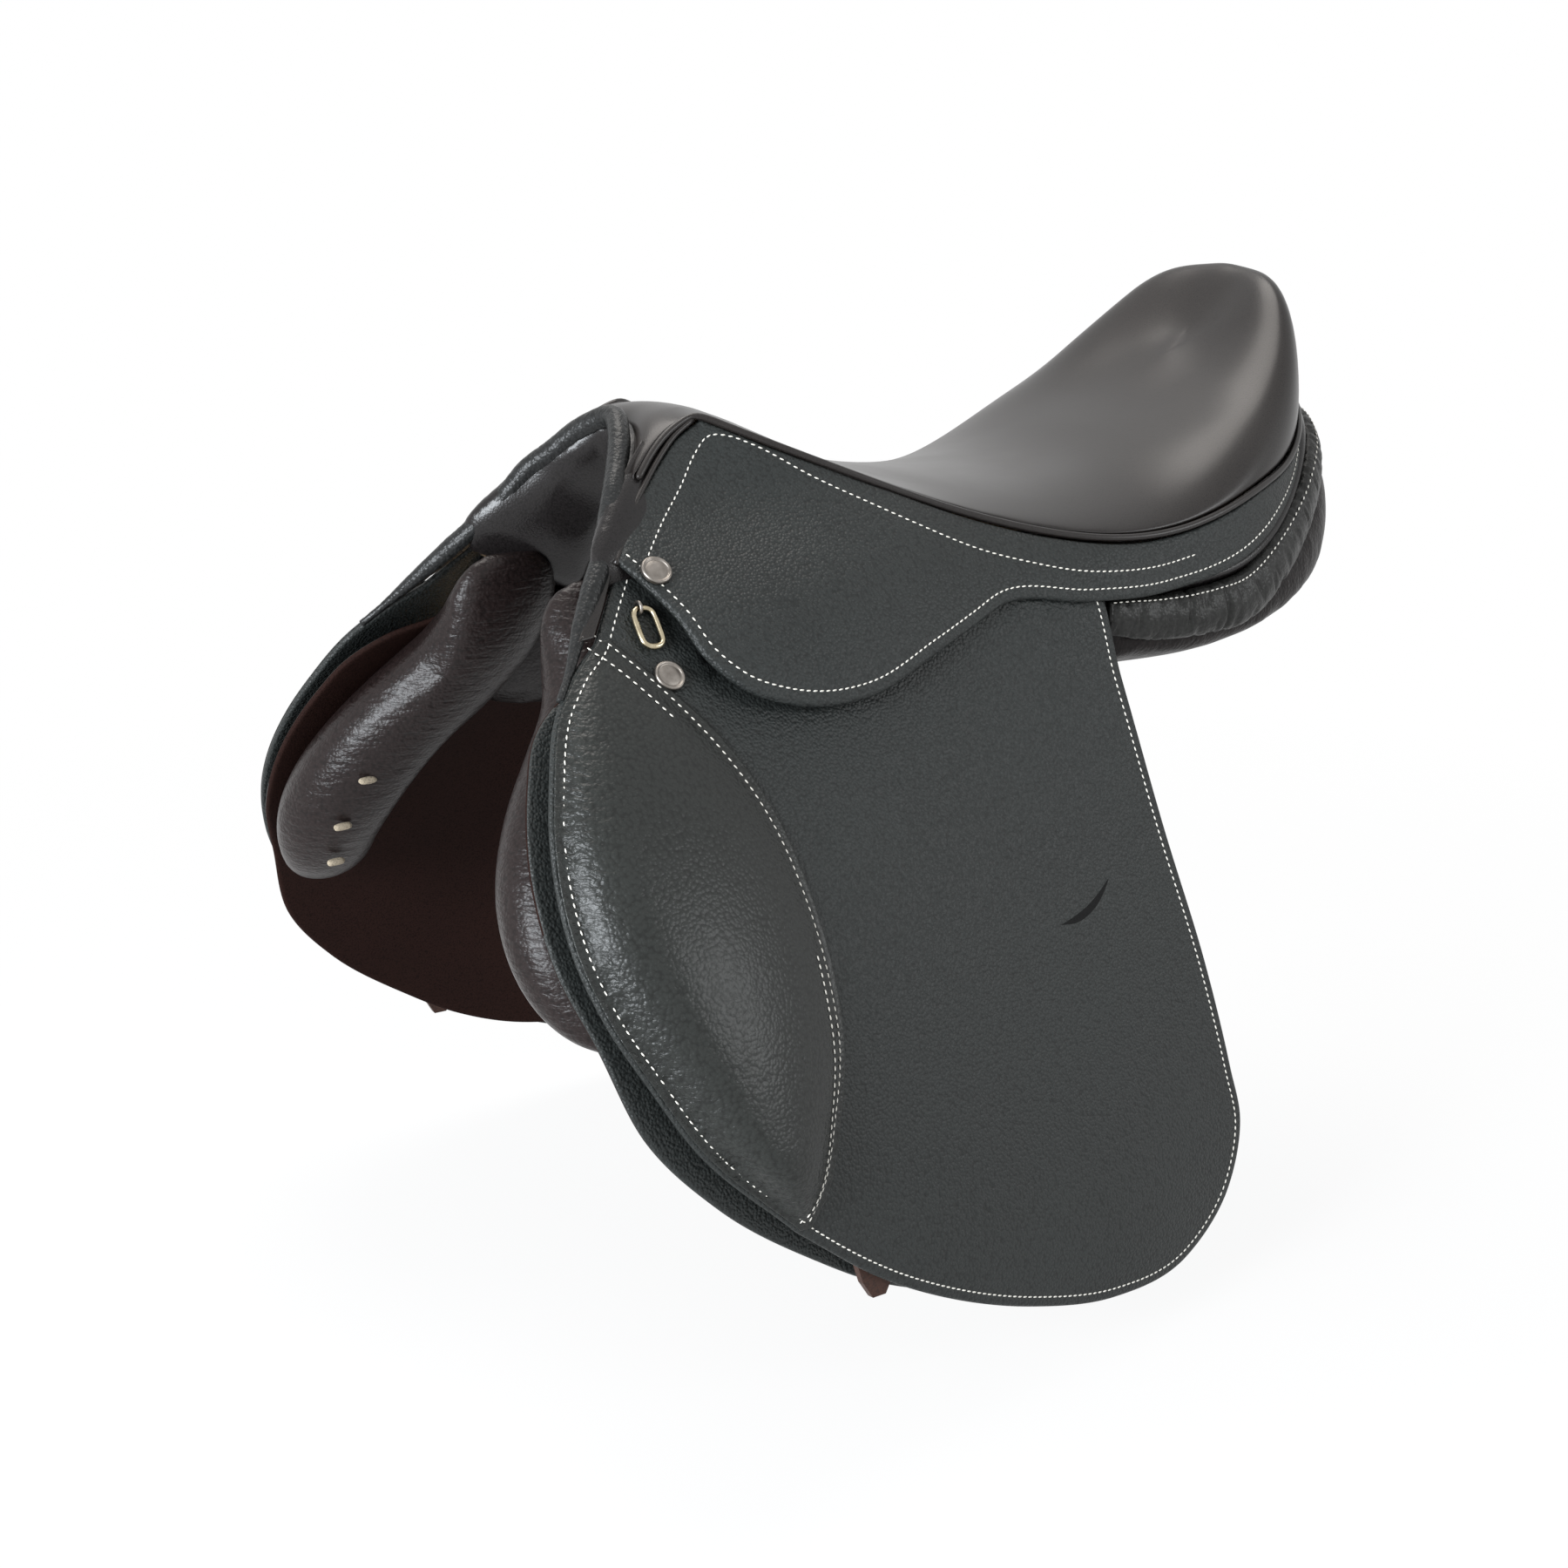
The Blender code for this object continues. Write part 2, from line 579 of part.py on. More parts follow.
# Seat: padded cover, then the webs, rails and springs of the tree under it
RIB_SHARES = (1.0, 0.86, 0.72, 0.58, 0.44, 0.3, 0.15)
RIB_STATIONS = (
    -127, -116, -103, -88, -70, -50, -28, -5, 20, 45, 70, 95, 120, 140, 160, 178,
    196, 213, 229, 244, 258, 271, 284, 297, 310, 322, 333, 344,
)
COLUMNS = (0, 0.28, 0.42, 0.56, 0.70, 0.84, 0.93, 0.98, 1)
RIBS = [POMMEL_START - POMMEL_RUN * share for share in RIB_SHARES]
RIBS += [station * MM for station in RIB_STATIONS] + [REAR_MIDDLE]
RAIL_TOP = WEB_THICKNESS + 2 * GAP
RAIL_BOTTOM = RAIL_TOP + RAIL_THICKNESS
SPRING_THICKNESS = 1.4 * MM
HEAD_REAR = -108 * MM
RAIL_SETBACK = 8 * MM


def padding(t, s):
    """Seat thickness: thin leather over the pommel, felt in the middle, drawn thin at the cantle's rim."""
    forward = min(max((t - POMMEL_START) / (60 * MM), 0), 1)
    wrap = min(max((t - 60 * MM) / (240 * MM), 0), 1)
    rim = min(max((s - 0.5) / 0.35, 0), 1)
    thick = POMMEL_PADDING + (SEAT_PADDING - POMMEL_PADDING) * forward**2 * (3 - 2 * forward)
    return thick * (1 - (0.55 + 0.15 * wrap) * rim**2 * (3 - 2 * rim))


def seat_band(name, stations, columns, top, bottom, sides, finish):
    """A layer of the seat between two depths, following the same ribs as the cover."""
    upper = []
    lower = []
    faces = []
    for side in sides:
        first = len(upper)
        for t in stations:
            for s in columns:
                base = 0 if top is None else padding(t, s)
                upper.append(seat_layer(t, s, 0 if top is None else base + top, side))
                lower.append(seat_layer(t, s, padding(t, s) if top is None else base + bottom, side))
        width = len(columns)
        for i in range(len(stations) - 1):
            for j in range(width - 1):
                a = first + i * width + j
                face = [a, a + 1, a + 1 + width, a + width]
                faces.append(face if side > 0 else face[::-1])
    return thicken(name, upper, lower, faces, finish)


def ribs_between(start, finish):
    return [start] + [t for t in RIBS if start + 4 * MM < t < finish - 4 * MM] + [finish]


seat_band("seat_cover", RIBS, COLUMNS, None, None, (1, -1), "seat_leather")
seat_band("tree_rails", ribs_between(HEAD_REAR + RAIL_SETBACK, REAR_MIDDLE), COLUMNS[1:4], RAIL_TOP, RAIL_BOTTOM, (1, -1), "laminated_wood")
seat_band("seat_web_long", ribs_between(HEAD_REAR + RAIL_SETBACK, CROSS_WEB_START - GAP), COLUMNS[:2], GAP, GAP + WEB_THICKNESS, (1, -1), "webbing")
seat_band("seat_web_cross", ribs_between(CROSS_WEB_START, CROSS_WEB_END), COLUMNS[:4], GAP, GAP + WEB_THICKNESS, (1, -1), "webbing")
for label, side in SIDES:
    seat_band(
        "spring_steel_" + label, ribs_between(SPRING_START, SPRING_END), COLUMNS[2:4],
        RAIL_BOTTOM + 2 * GAP, RAIL_BOTTOM + 2 * GAP + SPRING_THICKNESS, (side,), "steel",
    )


# Tree head, gullet plate and arch pad: layers inside the pommel's arch
ARCH_TOP = ((0, 34.6), (18, 29.5), (33, 19.5))
ARCH_LEVELS = (-4, -20, -36, -52, -68, -84, -100, -118)
HEAD_FRONT = (-138, -144, -154, -166, -177, -189, -195, -196, -193, -190, -186)
HEAD_BACK = (-108, -108, -118, -134, -136, -142, -150, -156, -162, -164, -167)
PAD_FRONT = (-149, -153.5, -162.5, -177.5, -189, -201.5)
PAD_BACK = (-112, -112, -121, -136, -136, -137)
PAD_THICKNESS = 9 * MM
PAD_FOOT_LEVEL = -41 * MM


def arch_point(column, t, depth, foot=None):
    """Point below the pommel's outer line: three columns over the top, then levels down the flank."""
    if column >= len(ARCH_TOP):
        level = ARCH_LEVELS[column - len(ARCH_TOP)] * MM
        return on_flank(t, level if foot is None else max(level, foot), depth)
    spots = [np.array(spot) * MM for spot in ARCH_TOP]
    side_spot = on_flank(t, ARCH_LEVELS[0] * MM, 0)[1:]
    chain = [spots[1] * (-1, 1)] + spots + [side_spot]
    tangent = chain[column + 2] - chain[column]
    inward = np.array([tangent[1], -tangent[0]]) / np.linalg.norm(tangent)
    y, z = chain[column + 1] + inward * depth
    return np.array([t, max(y, 0) if column else 0, z])


def arch_band(name, fronts, backs, section, finish, foot=None):
    """Carries a section of (share from front to back, depth) round the arch from side to side."""
    half = []
    for column, (front, back) in enumerate(zip(fronts, backs)):
        half.append([arch_point(column, (front + (back - front) * a) * MM, d, foot) for a, d in section])
    rings = [[p * (1, -1, 1) for p in ring] for ring in half[:0:-1]] + half
    points = [p for ring in rings for p in ring]
    count = len(section)
    faces = [[j for j in range(count)], [(len(rings) - 1) * count + j for j in range(count)][::-1]]
    for i in range(len(rings) - 1):
        for j in range(count):
            k = (j + 1) % count
            faces.append([i * count + j, (i + 1) * count + j, (i + 1) * count + k, i * count + k])
    return add_object(name, points, faces, finish)


def flat_section(outer, inner):
    return ((0, outer), (0.5, outer), (1, outer), (1, inner), (0.5, inner), (0, inner))


arch_band("tree_head", HEAD_FRONT, HEAD_BACK, flat_section(HEAD_OUTER, HEAD_INNER), "laminated_wood")
PLATE_OUTER = HEAD_INNER + 2.5 * GAP
PLATE_INNER = PLATE_OUTER + GULLET_PLATE_THICKNESS
arch_band(
    "gullet_plate", [front + 7 for front in HEAD_FRONT[:6]], [back - 4 for back in HEAD_BACK[:6]],
    flat_section(PLATE_OUTER, PLATE_INNER), "steel", PAD_FOOT_LEVEL,
)
PAD_OUTER = PLATE_INNER + 2 * GAP
PAD_INNER = PAD_OUTER + PAD_THICKNESS
PAD_LIP = FLAP_INNER + 2 * GAP
arch_band(
    "arch_pad", PAD_FRONT, PAD_BACK,
    (
        (0, PAD_LIP), (0, PAD_OUTER), (0.05, PAD_INNER - 2.5 * MM), (0.22, PAD_INNER), (0.6, PAD_INNER - 1 * MM),
        (0.95, PAD_INNER - 4 * MM), (1, PAD_OUTER), (0.5, PAD_OUTER), (0.12, PAD_OUTER), (0.1, PAD_LIP),
    ),
    "panel_leather", PAD_FOOT_LEVEL,
)


# Rolled edge round the arch, piping of the welt, rolls and facing below the cantle
def outwards(path):
    """Directions away from the middle of the gullet, for a path round the arch."""
    return [(0, y, z + 60 * MM) for x, y, z in path]


half_arch = [tuple(p) for p in arch_path(11 * MM)]
arch_line, arch_outs = mirrored(half_arch, outwards(half_arch))
sweep("arch_roll", arch_line, arch_outs, circle(ARCH_ROLL_RADIUS, 10), "panel_leather")

PIPING_LEVEL = 0.3 * MM
PIPING_DEPTH = -4.9 * MM
half_piping = []
for share in RIB_SHARES:
    half_piping.append(seam_point(share, 0.3 * SEAM_PLAY, PIPING_DEPTH))
for t in [station * MM for station in RIB_STATIONS] + [REAR_MIDDLE]:
    half_piping.append(on_flank(t, line(WELT_LEVEL, t) + PIPING_LEVEL, PIPING_DEPTH))
half_piping = [tuple(p) for p in half_piping[::-1]]
piping_line, piping_outs = mirrored(half_piping, [(x, y, 0) for x, y, z in half_piping])
sweep("welt_piping", piping_line, piping_outs, circle(PIPING_RADIUS, 5), "seat_leather")


def rear_blend(t):
    """0 along the flank, 1 round the cantle."""
    u = min(max((t - 150 * MM) / (140 * MM), 0), 1)
    return u * u * (3 - 2 * u)


def trim_point(t, below, depth, out):
    """Point under the skirt's edge: by depth on the flank, by distance out from the seat at the cantle."""
    z = float(line(TRIM_LEVEL, t)) - below
    flank = on_flank(t, z, depth)
    x, y, nx, ny = perimeter(t)
    rear = np.array([x + nx * out, y + ny * out, z])
    return flank + (rear - flank) * rear_blend(t)


TRIM_STATIONS = [t * MM for t in (88, 104, 120, 136, 152, 168, 184, 200, 216, 231, 246, 260, 274, 288, 302, 316, 330, 343)]
TRIM_STATIONS.append(REAR_MIDDLE)
FACING_DROP = CANTLE_ROLL_RADIUS + 3 * GAP + FACING_HEIGHT / 2
roll_half = [tuple(trim_point(t, 0, float(line(TRIM_DEPTH, t)), 3 * MM)) for t in TRIM_STATIONS[::-1]]
facing_half = []
facing_outs = []
for t in TRIM_STATIONS[::-1]:
    middle = trim_point(t, FACING_DROP, float(line(TRIM_DEPTH, t)) / 2 + 1 * MM, 10 * MM)
    x, y, nx, ny = perimeter(t)
    tilt = 0.45 + 0.35 * rear_blend(t)
    facing_half.append(tuple(middle))
    facing_outs.append((float(nx), float(ny), tilt))
roll_line, roll_outs = mirrored(roll_half, [(x - 100 * MM, y, 0) for x, y, z in roll_half])
sweep("cantle_roll", roll_line, roll_outs, circle(CANTLE_ROLL_RADIUS, 7), "under_leather")
facing_line, facing_outs = mirrored(facing_half, facing_outs)
sweep(
    "cantle_facing", facing_line, facing_outs,
    bar_section(FACING_THICKNESS, FACING_HEIGHT, 1.6 * MM), "panel_leather",
)


# Leather sheets of each side
def skirt_shape():
    top = [(t, float(line(WELT_LEVEL, t)) - 1.5 * MM) for t in np.linspace(-125 * MM, 252 * MM, 27)]
    return [tuple(p) for p in pattern(SKIRT_FRONT)] + top + outline(SKIRT_EDGE, spacing=11 * MM)[:-1]


LOBE_START = np.array((-178, -44)) * MM
LOBE_END = np.array((6, -60)) * MM
LOBE_DOWN = np.array((LOBE_END[1] - LOBE_START[1], LOBE_START[0] - LOBE_END[0]))
LOBE_DOWN = LOBE_DOWN / np.linalg.norm(LOBE_DOWN)
LOBE_STANDOFF = 12 * MM
HINGE_GAP = 0.6 * MM
FLAP_STATION = -80 * MM
KNEE_BASE = 1.8 * MM
BAR_WINDOW = tuple(value * MM for value in (-176, -84, -74, -50))


def knee_outer(t, z):
    """Crown of the knee roll: fullest a third of the way back, drawn in to its stitches all round."""
    front = np.array(pattern(KNEE_FRONT))
    rear = np.array(pattern(KNEE_REAR))
    low = np.interp(-z, -front[:, 1], front[:, 0])
    high = np.interp(-z, -rear[:, 1], rear[:, 0])
    across = np.clip((t - low) / (high - low), 0, 1) ** 0.8
    foot = front[-1][1]
    along = np.clip((z - foot) / (front[0][1] - foot), 0, 1)
    fullness = np.clip(4 * across * (1 - across), 0, 1) ** 0.75 * np.clip(4.6 * along * (1 - along), 0, 1) ** 0.7
    return -GAP - KNEE_BASE - (KNEE_ROLL_HEIGHT - KNEE_BASE) * fullness


def hinge_point(t, side):
    return on_flank(t, HINGE_LEVEL, -0.2 * MM, side)


def lobe_pivot(side):
    ends = [on_flank(t, z, skirt_outer(t, z), side) for t, z in (LOBE_START, LOBE_END)]
    return (ends[0] + ends[1]) / 2 + np.array((0, side * LOBE_STANDOFF, 0))


for label, side in SIDES:
    below_hinge = ((0, HINGE_LEVEL - HINGE_GAP / 2), (0, 1))
    above_hinge = ((0, HINGE_LEVEL + HINGE_GAP / 2), (0, -1))
    flap_outline = outline(FLAP_FRONT, FLAP_HEM, FLAP_REAR, FLAP_TOP, spacing=17 * MM)
    wrapped(
        "flap_head_" + label, flap_outline, constant(0), constant(FLAP_INNER), side, "flap_leather",
        trims=(above_hinge,), columns=20 * MM, window=BAR_WINDOW,
    )
    wrapped(
        "flap_" + label, flap_outline, constant(0), constant(FLAP_INNER), side, "flap_leather",
        pivot=hinge_point(FLAP_STATION, side), trims=(below_hinge,),
    )
    knee_outline = outline(KNEE_FRONT, KNEE_REAR[::-1], spacing=15 * MM)
    wrapped(
        "knee_roll_" + label, knee_outline, knee_outer, constant(-GAP), side, "panel_leather",
        pivot=hinge_point(FLAP_STATION, side), columns=12 * MM,
    )
    lobe_cut = tuple(LOBE_START - LOBE_DOWN * HINGE_GAP / 2), tuple(LOBE_DOWN)
    skirt_cut = tuple(LOBE_START + LOBE_DOWN * HINGE_GAP / 2), tuple(-LOBE_DOWN)
    wrapped(
        "skirt_" + label, skirt_shape(), skirt_outer, skirt_inner, side, "flap_leather",
        trims=(lobe_cut,), columns=20 * MM,
    )
    wrapped(
        "skirt_lobe_" + label, skirt_shape(), skirt_outer, skirt_inner, side, "flap_leather",
        pivot=lobe_pivot(side), trims=(skirt_cut,), columns=20 * MM,
    )
    wrapped(
        "sweat_flap_" + label, outline(SWEAT_FLAP_EDGE, SWEAT_FLAP_TOP, spacing=18 * MM),
        constant(SWEAT_OUTER), constant(SWEAT_INNER), side, "under_leather",
    )


# Girth straps: each hangs from its web and swings about a line across the horse
STRAPS = (("point", -146, -108, -357), ("front", -62, -88, -385), ("rear", -14, -88, -385))
TIP_LENGTH = 22 * MM


def arc(centre, radius, start, finish, count):
    angles = np.linspace(math.radians(start), math.radians(finish), count)
    return [(centre[0] + radius * math.cos(a), centre[1] + radius * math.sin(a)) for a in angles]


def strap_shape(station, pivot_level, tip_level):
    """Round head on the pivot, straight sides and a tapered tip."""
    half = STRAP_WIDTH / 2
    head = arc((station, pivot_level), half, 0, 180, 9)
    tip = [
        (station - half, tip_level + TIP_LENGTH), (station - 0.72 * half, tip_level + 0.4 * TIP_LENGTH),
        (station - 0.3 * half, tip_level), (station + 0.3 * half, tip_level),
        (station + 0.72 * half, tip_level + 0.4 * TIP_LENGTH), (station + half, tip_level + TIP_LENGTH),
    ]
    return head + tip


def strap_pivot(station, pivot_level, side):
    return on_flank(station, pivot_level, (STRAP_OUTER + STRAP_INNER) / 2, side)


WEB_INNER = STRAP_OUTER + 2.0 * MM
WEB_MARGIN = 4.5 * MM
for label, side in SIDES:
    webs = (("point", -76 * MM, STRAPS[:1]), ("rear", -54 * MM, STRAPS[1:]))
    for name, top_level, straps in webs:
        radius = STRAP_WIDTH / 2 + GAP
        first = straps[0][1] * MM - radius - WEB_MARGIN
        last = straps[-1][1] * MM + radius + WEB_MARGIN
        shape = [(last, top_level), (first, top_level)]
        for _, station, level, _ in straps:
            shape += [(station * MM - radius - (WEB_MARGIN if station == straps[0][1] else 0), level * MM)]
            shape += arc((station * MM, level * MM), radius, 180, 0, 11)
        shape += [(last, straps[-1][2] * MM)]
        wrapped(f"girth_web_{name}_{label}", shape, constant(STRAP_OUTER), constant(WEB_INNER), side, "webbing")
    for name, station, level, tip in STRAPS:
        drop = HINGE_LEVEL + (tip * MM - HINGE_LEVEL) * FLAP_DROP / PATTERN_DROP
        wrapped(
            f"girth_strap_{name}_{label}", strap_shape(station * MM, level * MM, drop),
            constant(STRAP_OUTER), constant(STRAP_INNER), side, "strap_leather",
            pivot=strap_pivot(station * MM, level * MM, side),
        )


# Stirrup bars: a forged plate behind the flap, turned out through its window into the bar
BAR_LEVEL = -62 * MM
BAR_START = -84 * MM
BAR_FRONT = -167 * MM
BAR_END = -98 * MM
PLATE_HEIGHT = 17 * MM
TURN_STEPS = 5


def bar_path(side):
    plate_depth = (BAR_PLATE_OUTER + BAR_PLATE_INNER) / 2
    arm_depth = -BAR_PLAY - BAR_THICKNESS / 2
    path = [(t, plate_depth) for t in np.linspace(BAR_START, BAR_FRONT, 7)]
    middle = (plate_depth + arm_depth) / 2
    radius = (plate_depth - arm_depth) / 2
    for step in range(1, TURN_STEPS):
        angle = math.pi * step / TURN_STEPS
        path.append((BAR_FRONT - radius * math.sin(angle), middle + radius * math.cos(angle)))
    path += [(t, arm_depth) for t in np.linspace(BAR_FRONT, BAR_END, 6)]
    points = [Vector(on_flank(t, BAR_LEVEL, depth, side)) for t, depth in path]
    _, along, up, out = flank_frame(-120 * MM, BAR_LEVEL, 0, side)
    outs = []
    for i in range(len(points)):
        before = points[max(i - 1, 0)]
        after = points[min(i + 1, len(points) - 1)]
        outs.append(up.cross(after - before))
    return points, outs


def bar_shape(share):
    """Broad thin plate over the first part, stout narrow bar over the rest."""
    turn = min(max((share - 0.38) / 0.16, 0), 1)
    height = PLATE_HEIGHT + (BAR_HEIGHT - PLATE_HEIGHT) * turn
    thick = BAR_PLATE_THICKNESS + (BAR_THICKNESS - BAR_PLATE_THICKNESS) * turn
    return bar_section(thick, height, BAR_CHAMFER)


def placed(frame, shape):
    """Points given as (along, up, out) in a frame on the flank."""
    centre, along, up, out = frame
    return [tuple(centre + along * a + up * b + out * c) for a, b, c in shape]


def prism(name, frame, rows, finish, pivot=None):
    """Stack of equal rings, given from the lowest to the highest, closed at both ends."""
    points = [p for row in rows for p in placed(frame, row)]
    count = len(rows[0])
    faces = [list(range(count))[::-1], [(len(rows) - 1) * count + j for j in range(count)]]
    for i in range(len(rows) - 1):
        for j in range(count):
            k = (j + 1) % count
            faces.append([i * count + j, i * count + k, (i + 1) * count + k, (i + 1) * count + j])
    return add_object(name, points, faces, finish, pivot)


CATCH_THICKNESS = 3.6 * MM
CATCH_RADIUS = BAR_HEIGHT / 2 - 0.5 * MM
CATCH_PIVOT = BAR_END + GAP + CATCH_RADIUS
for label, side in SIDES:
    points, outs = bar_path(side)
    sweep("stirrup_bar_" + label, points, outs, bar_shape, "steel")
    depth = -BAR_PLAY - BAR_THICKNESS / 2
    pivot = on_flank(CATCH_PIVOT, BAR_LEVEL, depth, side)
    frame = (Vector(pivot),) + flank_frame(CATCH_PIVOT + CATCH_LENGTH / 2, BAR_LEVEL, depth, side)[1:]
    lip = [(a, b) for a, b in arc((0, 0), CATCH_RADIUS, 90, 270, 7)]
    lip += [(0.6 * CATCH_LENGTH, -CATCH_RADIUS), (CATCH_LENGTH - 7 * MM, -0.6 * CATCH_RADIUS)]
    lip += [(CATCH_LENGTH - 5 * MM, 0.4 * CATCH_RADIUS), (0.6 * CATCH_LENGTH, 0.9 * CATCH_RADIUS)]
    rows = [[(a, b, h) for a, b in lip] for h in (-CATCH_THICKNESS / 2, CATCH_THICKNESS / 2)]
    prism("bar_catch_" + label, frame, rows, "steel", pivot=pivot)


# Hardware on the front of each skirt: two studs and a hanging ring in its staple
STUDS = (("upper", -178.6, -35.1), ("lower", -187.5, -74.6))
DEE_STATION = -190.5 * MM
DEE_LEVEL = -46.5 * MM
DEE_HEIGHT = GAP + DEE_PLAY + DEE_WIRE_RADIUS
STAPLE_WIRE = 1.1 * MM
STUD_SEAT = 0.6 * MM
STUD_PROFILE = ((1.0, 0.0), (1.0, 0.35), (0.9, 0.75), (0.62, 1.0))


def dee_shape():
    """Ring of the dee in its own plane: straight top bar, rounded foot."""
    corner = DEE_HALF_WIDTH * 0.8
    w = DEE_HALF_WIDTH
    h = 2 * DEE_HALF_HEIGHT
    ring = arc((w - corner, -corner), corner, 90, 0, 4) + arc((w - corner, -h + corner), corner, 0, -90, 4)
    ring += arc((-w + corner, -h + corner), corner, 270, 180, 4) + arc((-w + corner, -corner), corner, 180, 90, 4)
    return ring


for label, side in SIDES:
    for name, t, z in STUDS:
        base = skirt_outer if name == "upper" else constant(0)
        frame = flank_frame(t * MM, z * MM, lambda a, b: base(a, b) - STUD_SEAT, side)
        rows = []
        for wide, high in STUD_PROFILE:
            rows.append([(a, b, high * STUD_HEIGHT) for a, b in arc((0, 0), wide * STUD_RADIUS, 0, 337.5, 16)])
        prism(f"stud_{name}_{label}", frame, rows, "antique_nickel")
    frame = flank_frame(DEE_STATION, DEE_LEVEL, -DEE_HEIGHT, side)
    pivot = np.array(frame[0])
    ring = placed(frame, [(a, b, 0) for a, b in dee_shape()])
    sweep(
        "dee_" + label, ring, [frame[3]] * len(ring), circle(DEE_WIRE_RADIUS, 8), "antique_nickel",
        pivot=pivot, closed=True,
    )
    reach = DEE_WIRE_RADIUS + GAP + STAPLE_WIRE
    loop = [(0, reach, -DEE_HEIGHT + GAP)] + [(0, b, c) for b, c in arc((0, 0), reach, 0, 180, 9)]
    loop += [(0, -reach, -DEE_HEIGHT + GAP)]
    staple = placed(frame, loop)
    sweep("dee_staple_" + label, staple, [frame[1]] * len(staple), circle(STAPLE_WIRE, 6), "antique_nickel")


# Panels: stuffed cushions either side of the channel, with a gusset round the cantle
PANEL_STATIONS = [t * MM for t in (
    -184, -178, -166, -150, -134, -116, -96, -74, -52, -30, -8, 14, 36, 58, 80, 100, 120, 138, 156,
    174, 191, 208, 224, 239, 254, 268, 282, 295, 308, 320, 326,
)]
WALL_SHARES = (0, 0.2, 0.45, 0.7, 0.9, 1)
UNDER_SHARES = (0.06, 0.2, 0.38, 0.56, 0.74, 0.9)
PANEL_ENDS = ((-184, 0.45), (-178, 0.8), (-166, 1), (318, 1), (330, 0.9))


def panel_wall(t, share, side):
    """Outer wall: below the sweat flap in front, the gusset's bulge behind."""
    w = rear_blend(t)
    top = float(line(PANEL_TOP, t))
    edge = float(line(PANEL_EDGE, t))
    trim = float(line(TRIM_LEVEL, t))
    gusset_top = trim - 17.8 * MM
    gusset = min(max((t - 84 * MM) / (16 * MM), 0), 1)
    top = top + (gusset_top - top) * gusset
    z = top + (edge - top) * share
    tuck = 5 * MM * share**4 + 2.5 * MM * (1 - share) ** 6
    flank = on_flank(t, z, float(line(PANEL_COVER, t)) + tuck)
    x, y, nx, ny = perimeter(t)
    out = float(line(REAR_PROFILE, trim - z))
    rear = np.array([x + nx * out, y + ny * out, z])
    point = flank + (rear - flank) * w
    return point * (1, side, 1)


def panel_section(t, side):
    """Closed section from the wall, under the belly, up the channel and back over the top."""
    x = float(line(CHANNEL_X, t))
    half = float(line(CHANNEL_HALF, x))
    roof = float(line(CHANNEL_LEVEL, x))
    foot = float(line(CHANNEL_FOOT, x))
    wall = [panel_wall(t, share, side) for share in WALL_SHARES]
    lower = np.array([x, side * (half + 5 * MM), foot])
    upper = np.array([x, side * half, roof])
    belly = []
    for share in UNDER_SHARES:
        point = wall[-1] + (lower - wall[-1]) * share
        belly.append(point - (0, 0, PANEL_BELLY * (4 * share * (1 - share)) ** 0.8))
    inner = [lower, (lower + upper) / 2 + (0, -side * 1.5 * MM, 0), upper]
    crown = upper + (wall[0] - upper) * 0.5 + (0, 0, 2 * MM)
    ring = np.array(wall + belly + inner + [crown])
    middle = ring.mean(axis=0)
    size = np.interp(t / MM, [end[0] for end in PANEL_ENDS], [end[1] for end in PANEL_ENDS])
    return list(middle + (ring - middle) * size)


ROLL_SIDES = 12
ROLL_FLAT = math.cos(math.pi / ROLL_SIDES)


def panel_roll(label, side):
    """Stuffed roll along the panel's front, round in section and drawn to a point at both ends."""
    path = smooth_path(np.array(PANEL_ROLL) * MM, 13 * MM)
    rings = []
    for i, (t, z, radius) in enumerate(path):
        before = path[max(i - 1, 0)]
        after = path[min(i + 1, len(path) - 1)]
        direction = np.array(after[:2]) - np.array(before[:2])
        across = np.array((-direction[1], direction[0])) / np.linalg.norm(direction)
        ring = []
        for a, b in circle(radius, ROLL_SIDES):
            at = (t, z) + across * a
            ring.append(on_flank(at[0], at[1], PANEL_OUTER + radius * ROLL_FLAT - b, side))
        rings.append(ring)
    return lofted("panel_roll_" + label, rings, "panel_leather")


def lofted(name, rings, finish):
    points = [p for ring in rings for p in ring]
    count = len(rings[0])
    faces = [list(range(count)), [(len(rings) - 1) * count + j for j in range(count)][::-1]]
    for i in range(len(rings) - 1):
        for j in range(count):
            k = (j + 1) % count
            faces.append([i * count + j, (i + 1) * count + j, (i + 1) * count + k, i * count + k])
    return add_object(name, points, faces, finish)


TIES = ((-256, -118), (-266, -146), (-264, -174))
for label, side in SIDES:
    lofted("panel_" + label, [panel_section(t, side) for t in PANEL_STATIONS], "panel_leather")
    panel_roll(label, side)
    roll = np.array(PANEL_ROLL) * MM
    for number, (t, z) in enumerate(TIES, 1):
        radius = float(np.interp(-z * MM, -roll[:, 1], roll[:, 2]))
        centre = float(np.interp(-z * MM, -roll[:, 1], roll[:, 0]))
        depth = PANEL_OUTER + 2 * radius * ROLL_FLAT + 2 * GAP + TIE_RADIUS
        ends = [on_flank(centre + TIE_SPAN * shift, z * MM, depth, side) for shift in (-0.5, 0.5)]
        outs = [flank_frame(centre, z * MM, depth, side)[3]] * 2
        sweep(f"panel_tie_{number}_{label}", ends, outs, circle(TIE_RADIUS, 6), "thread")

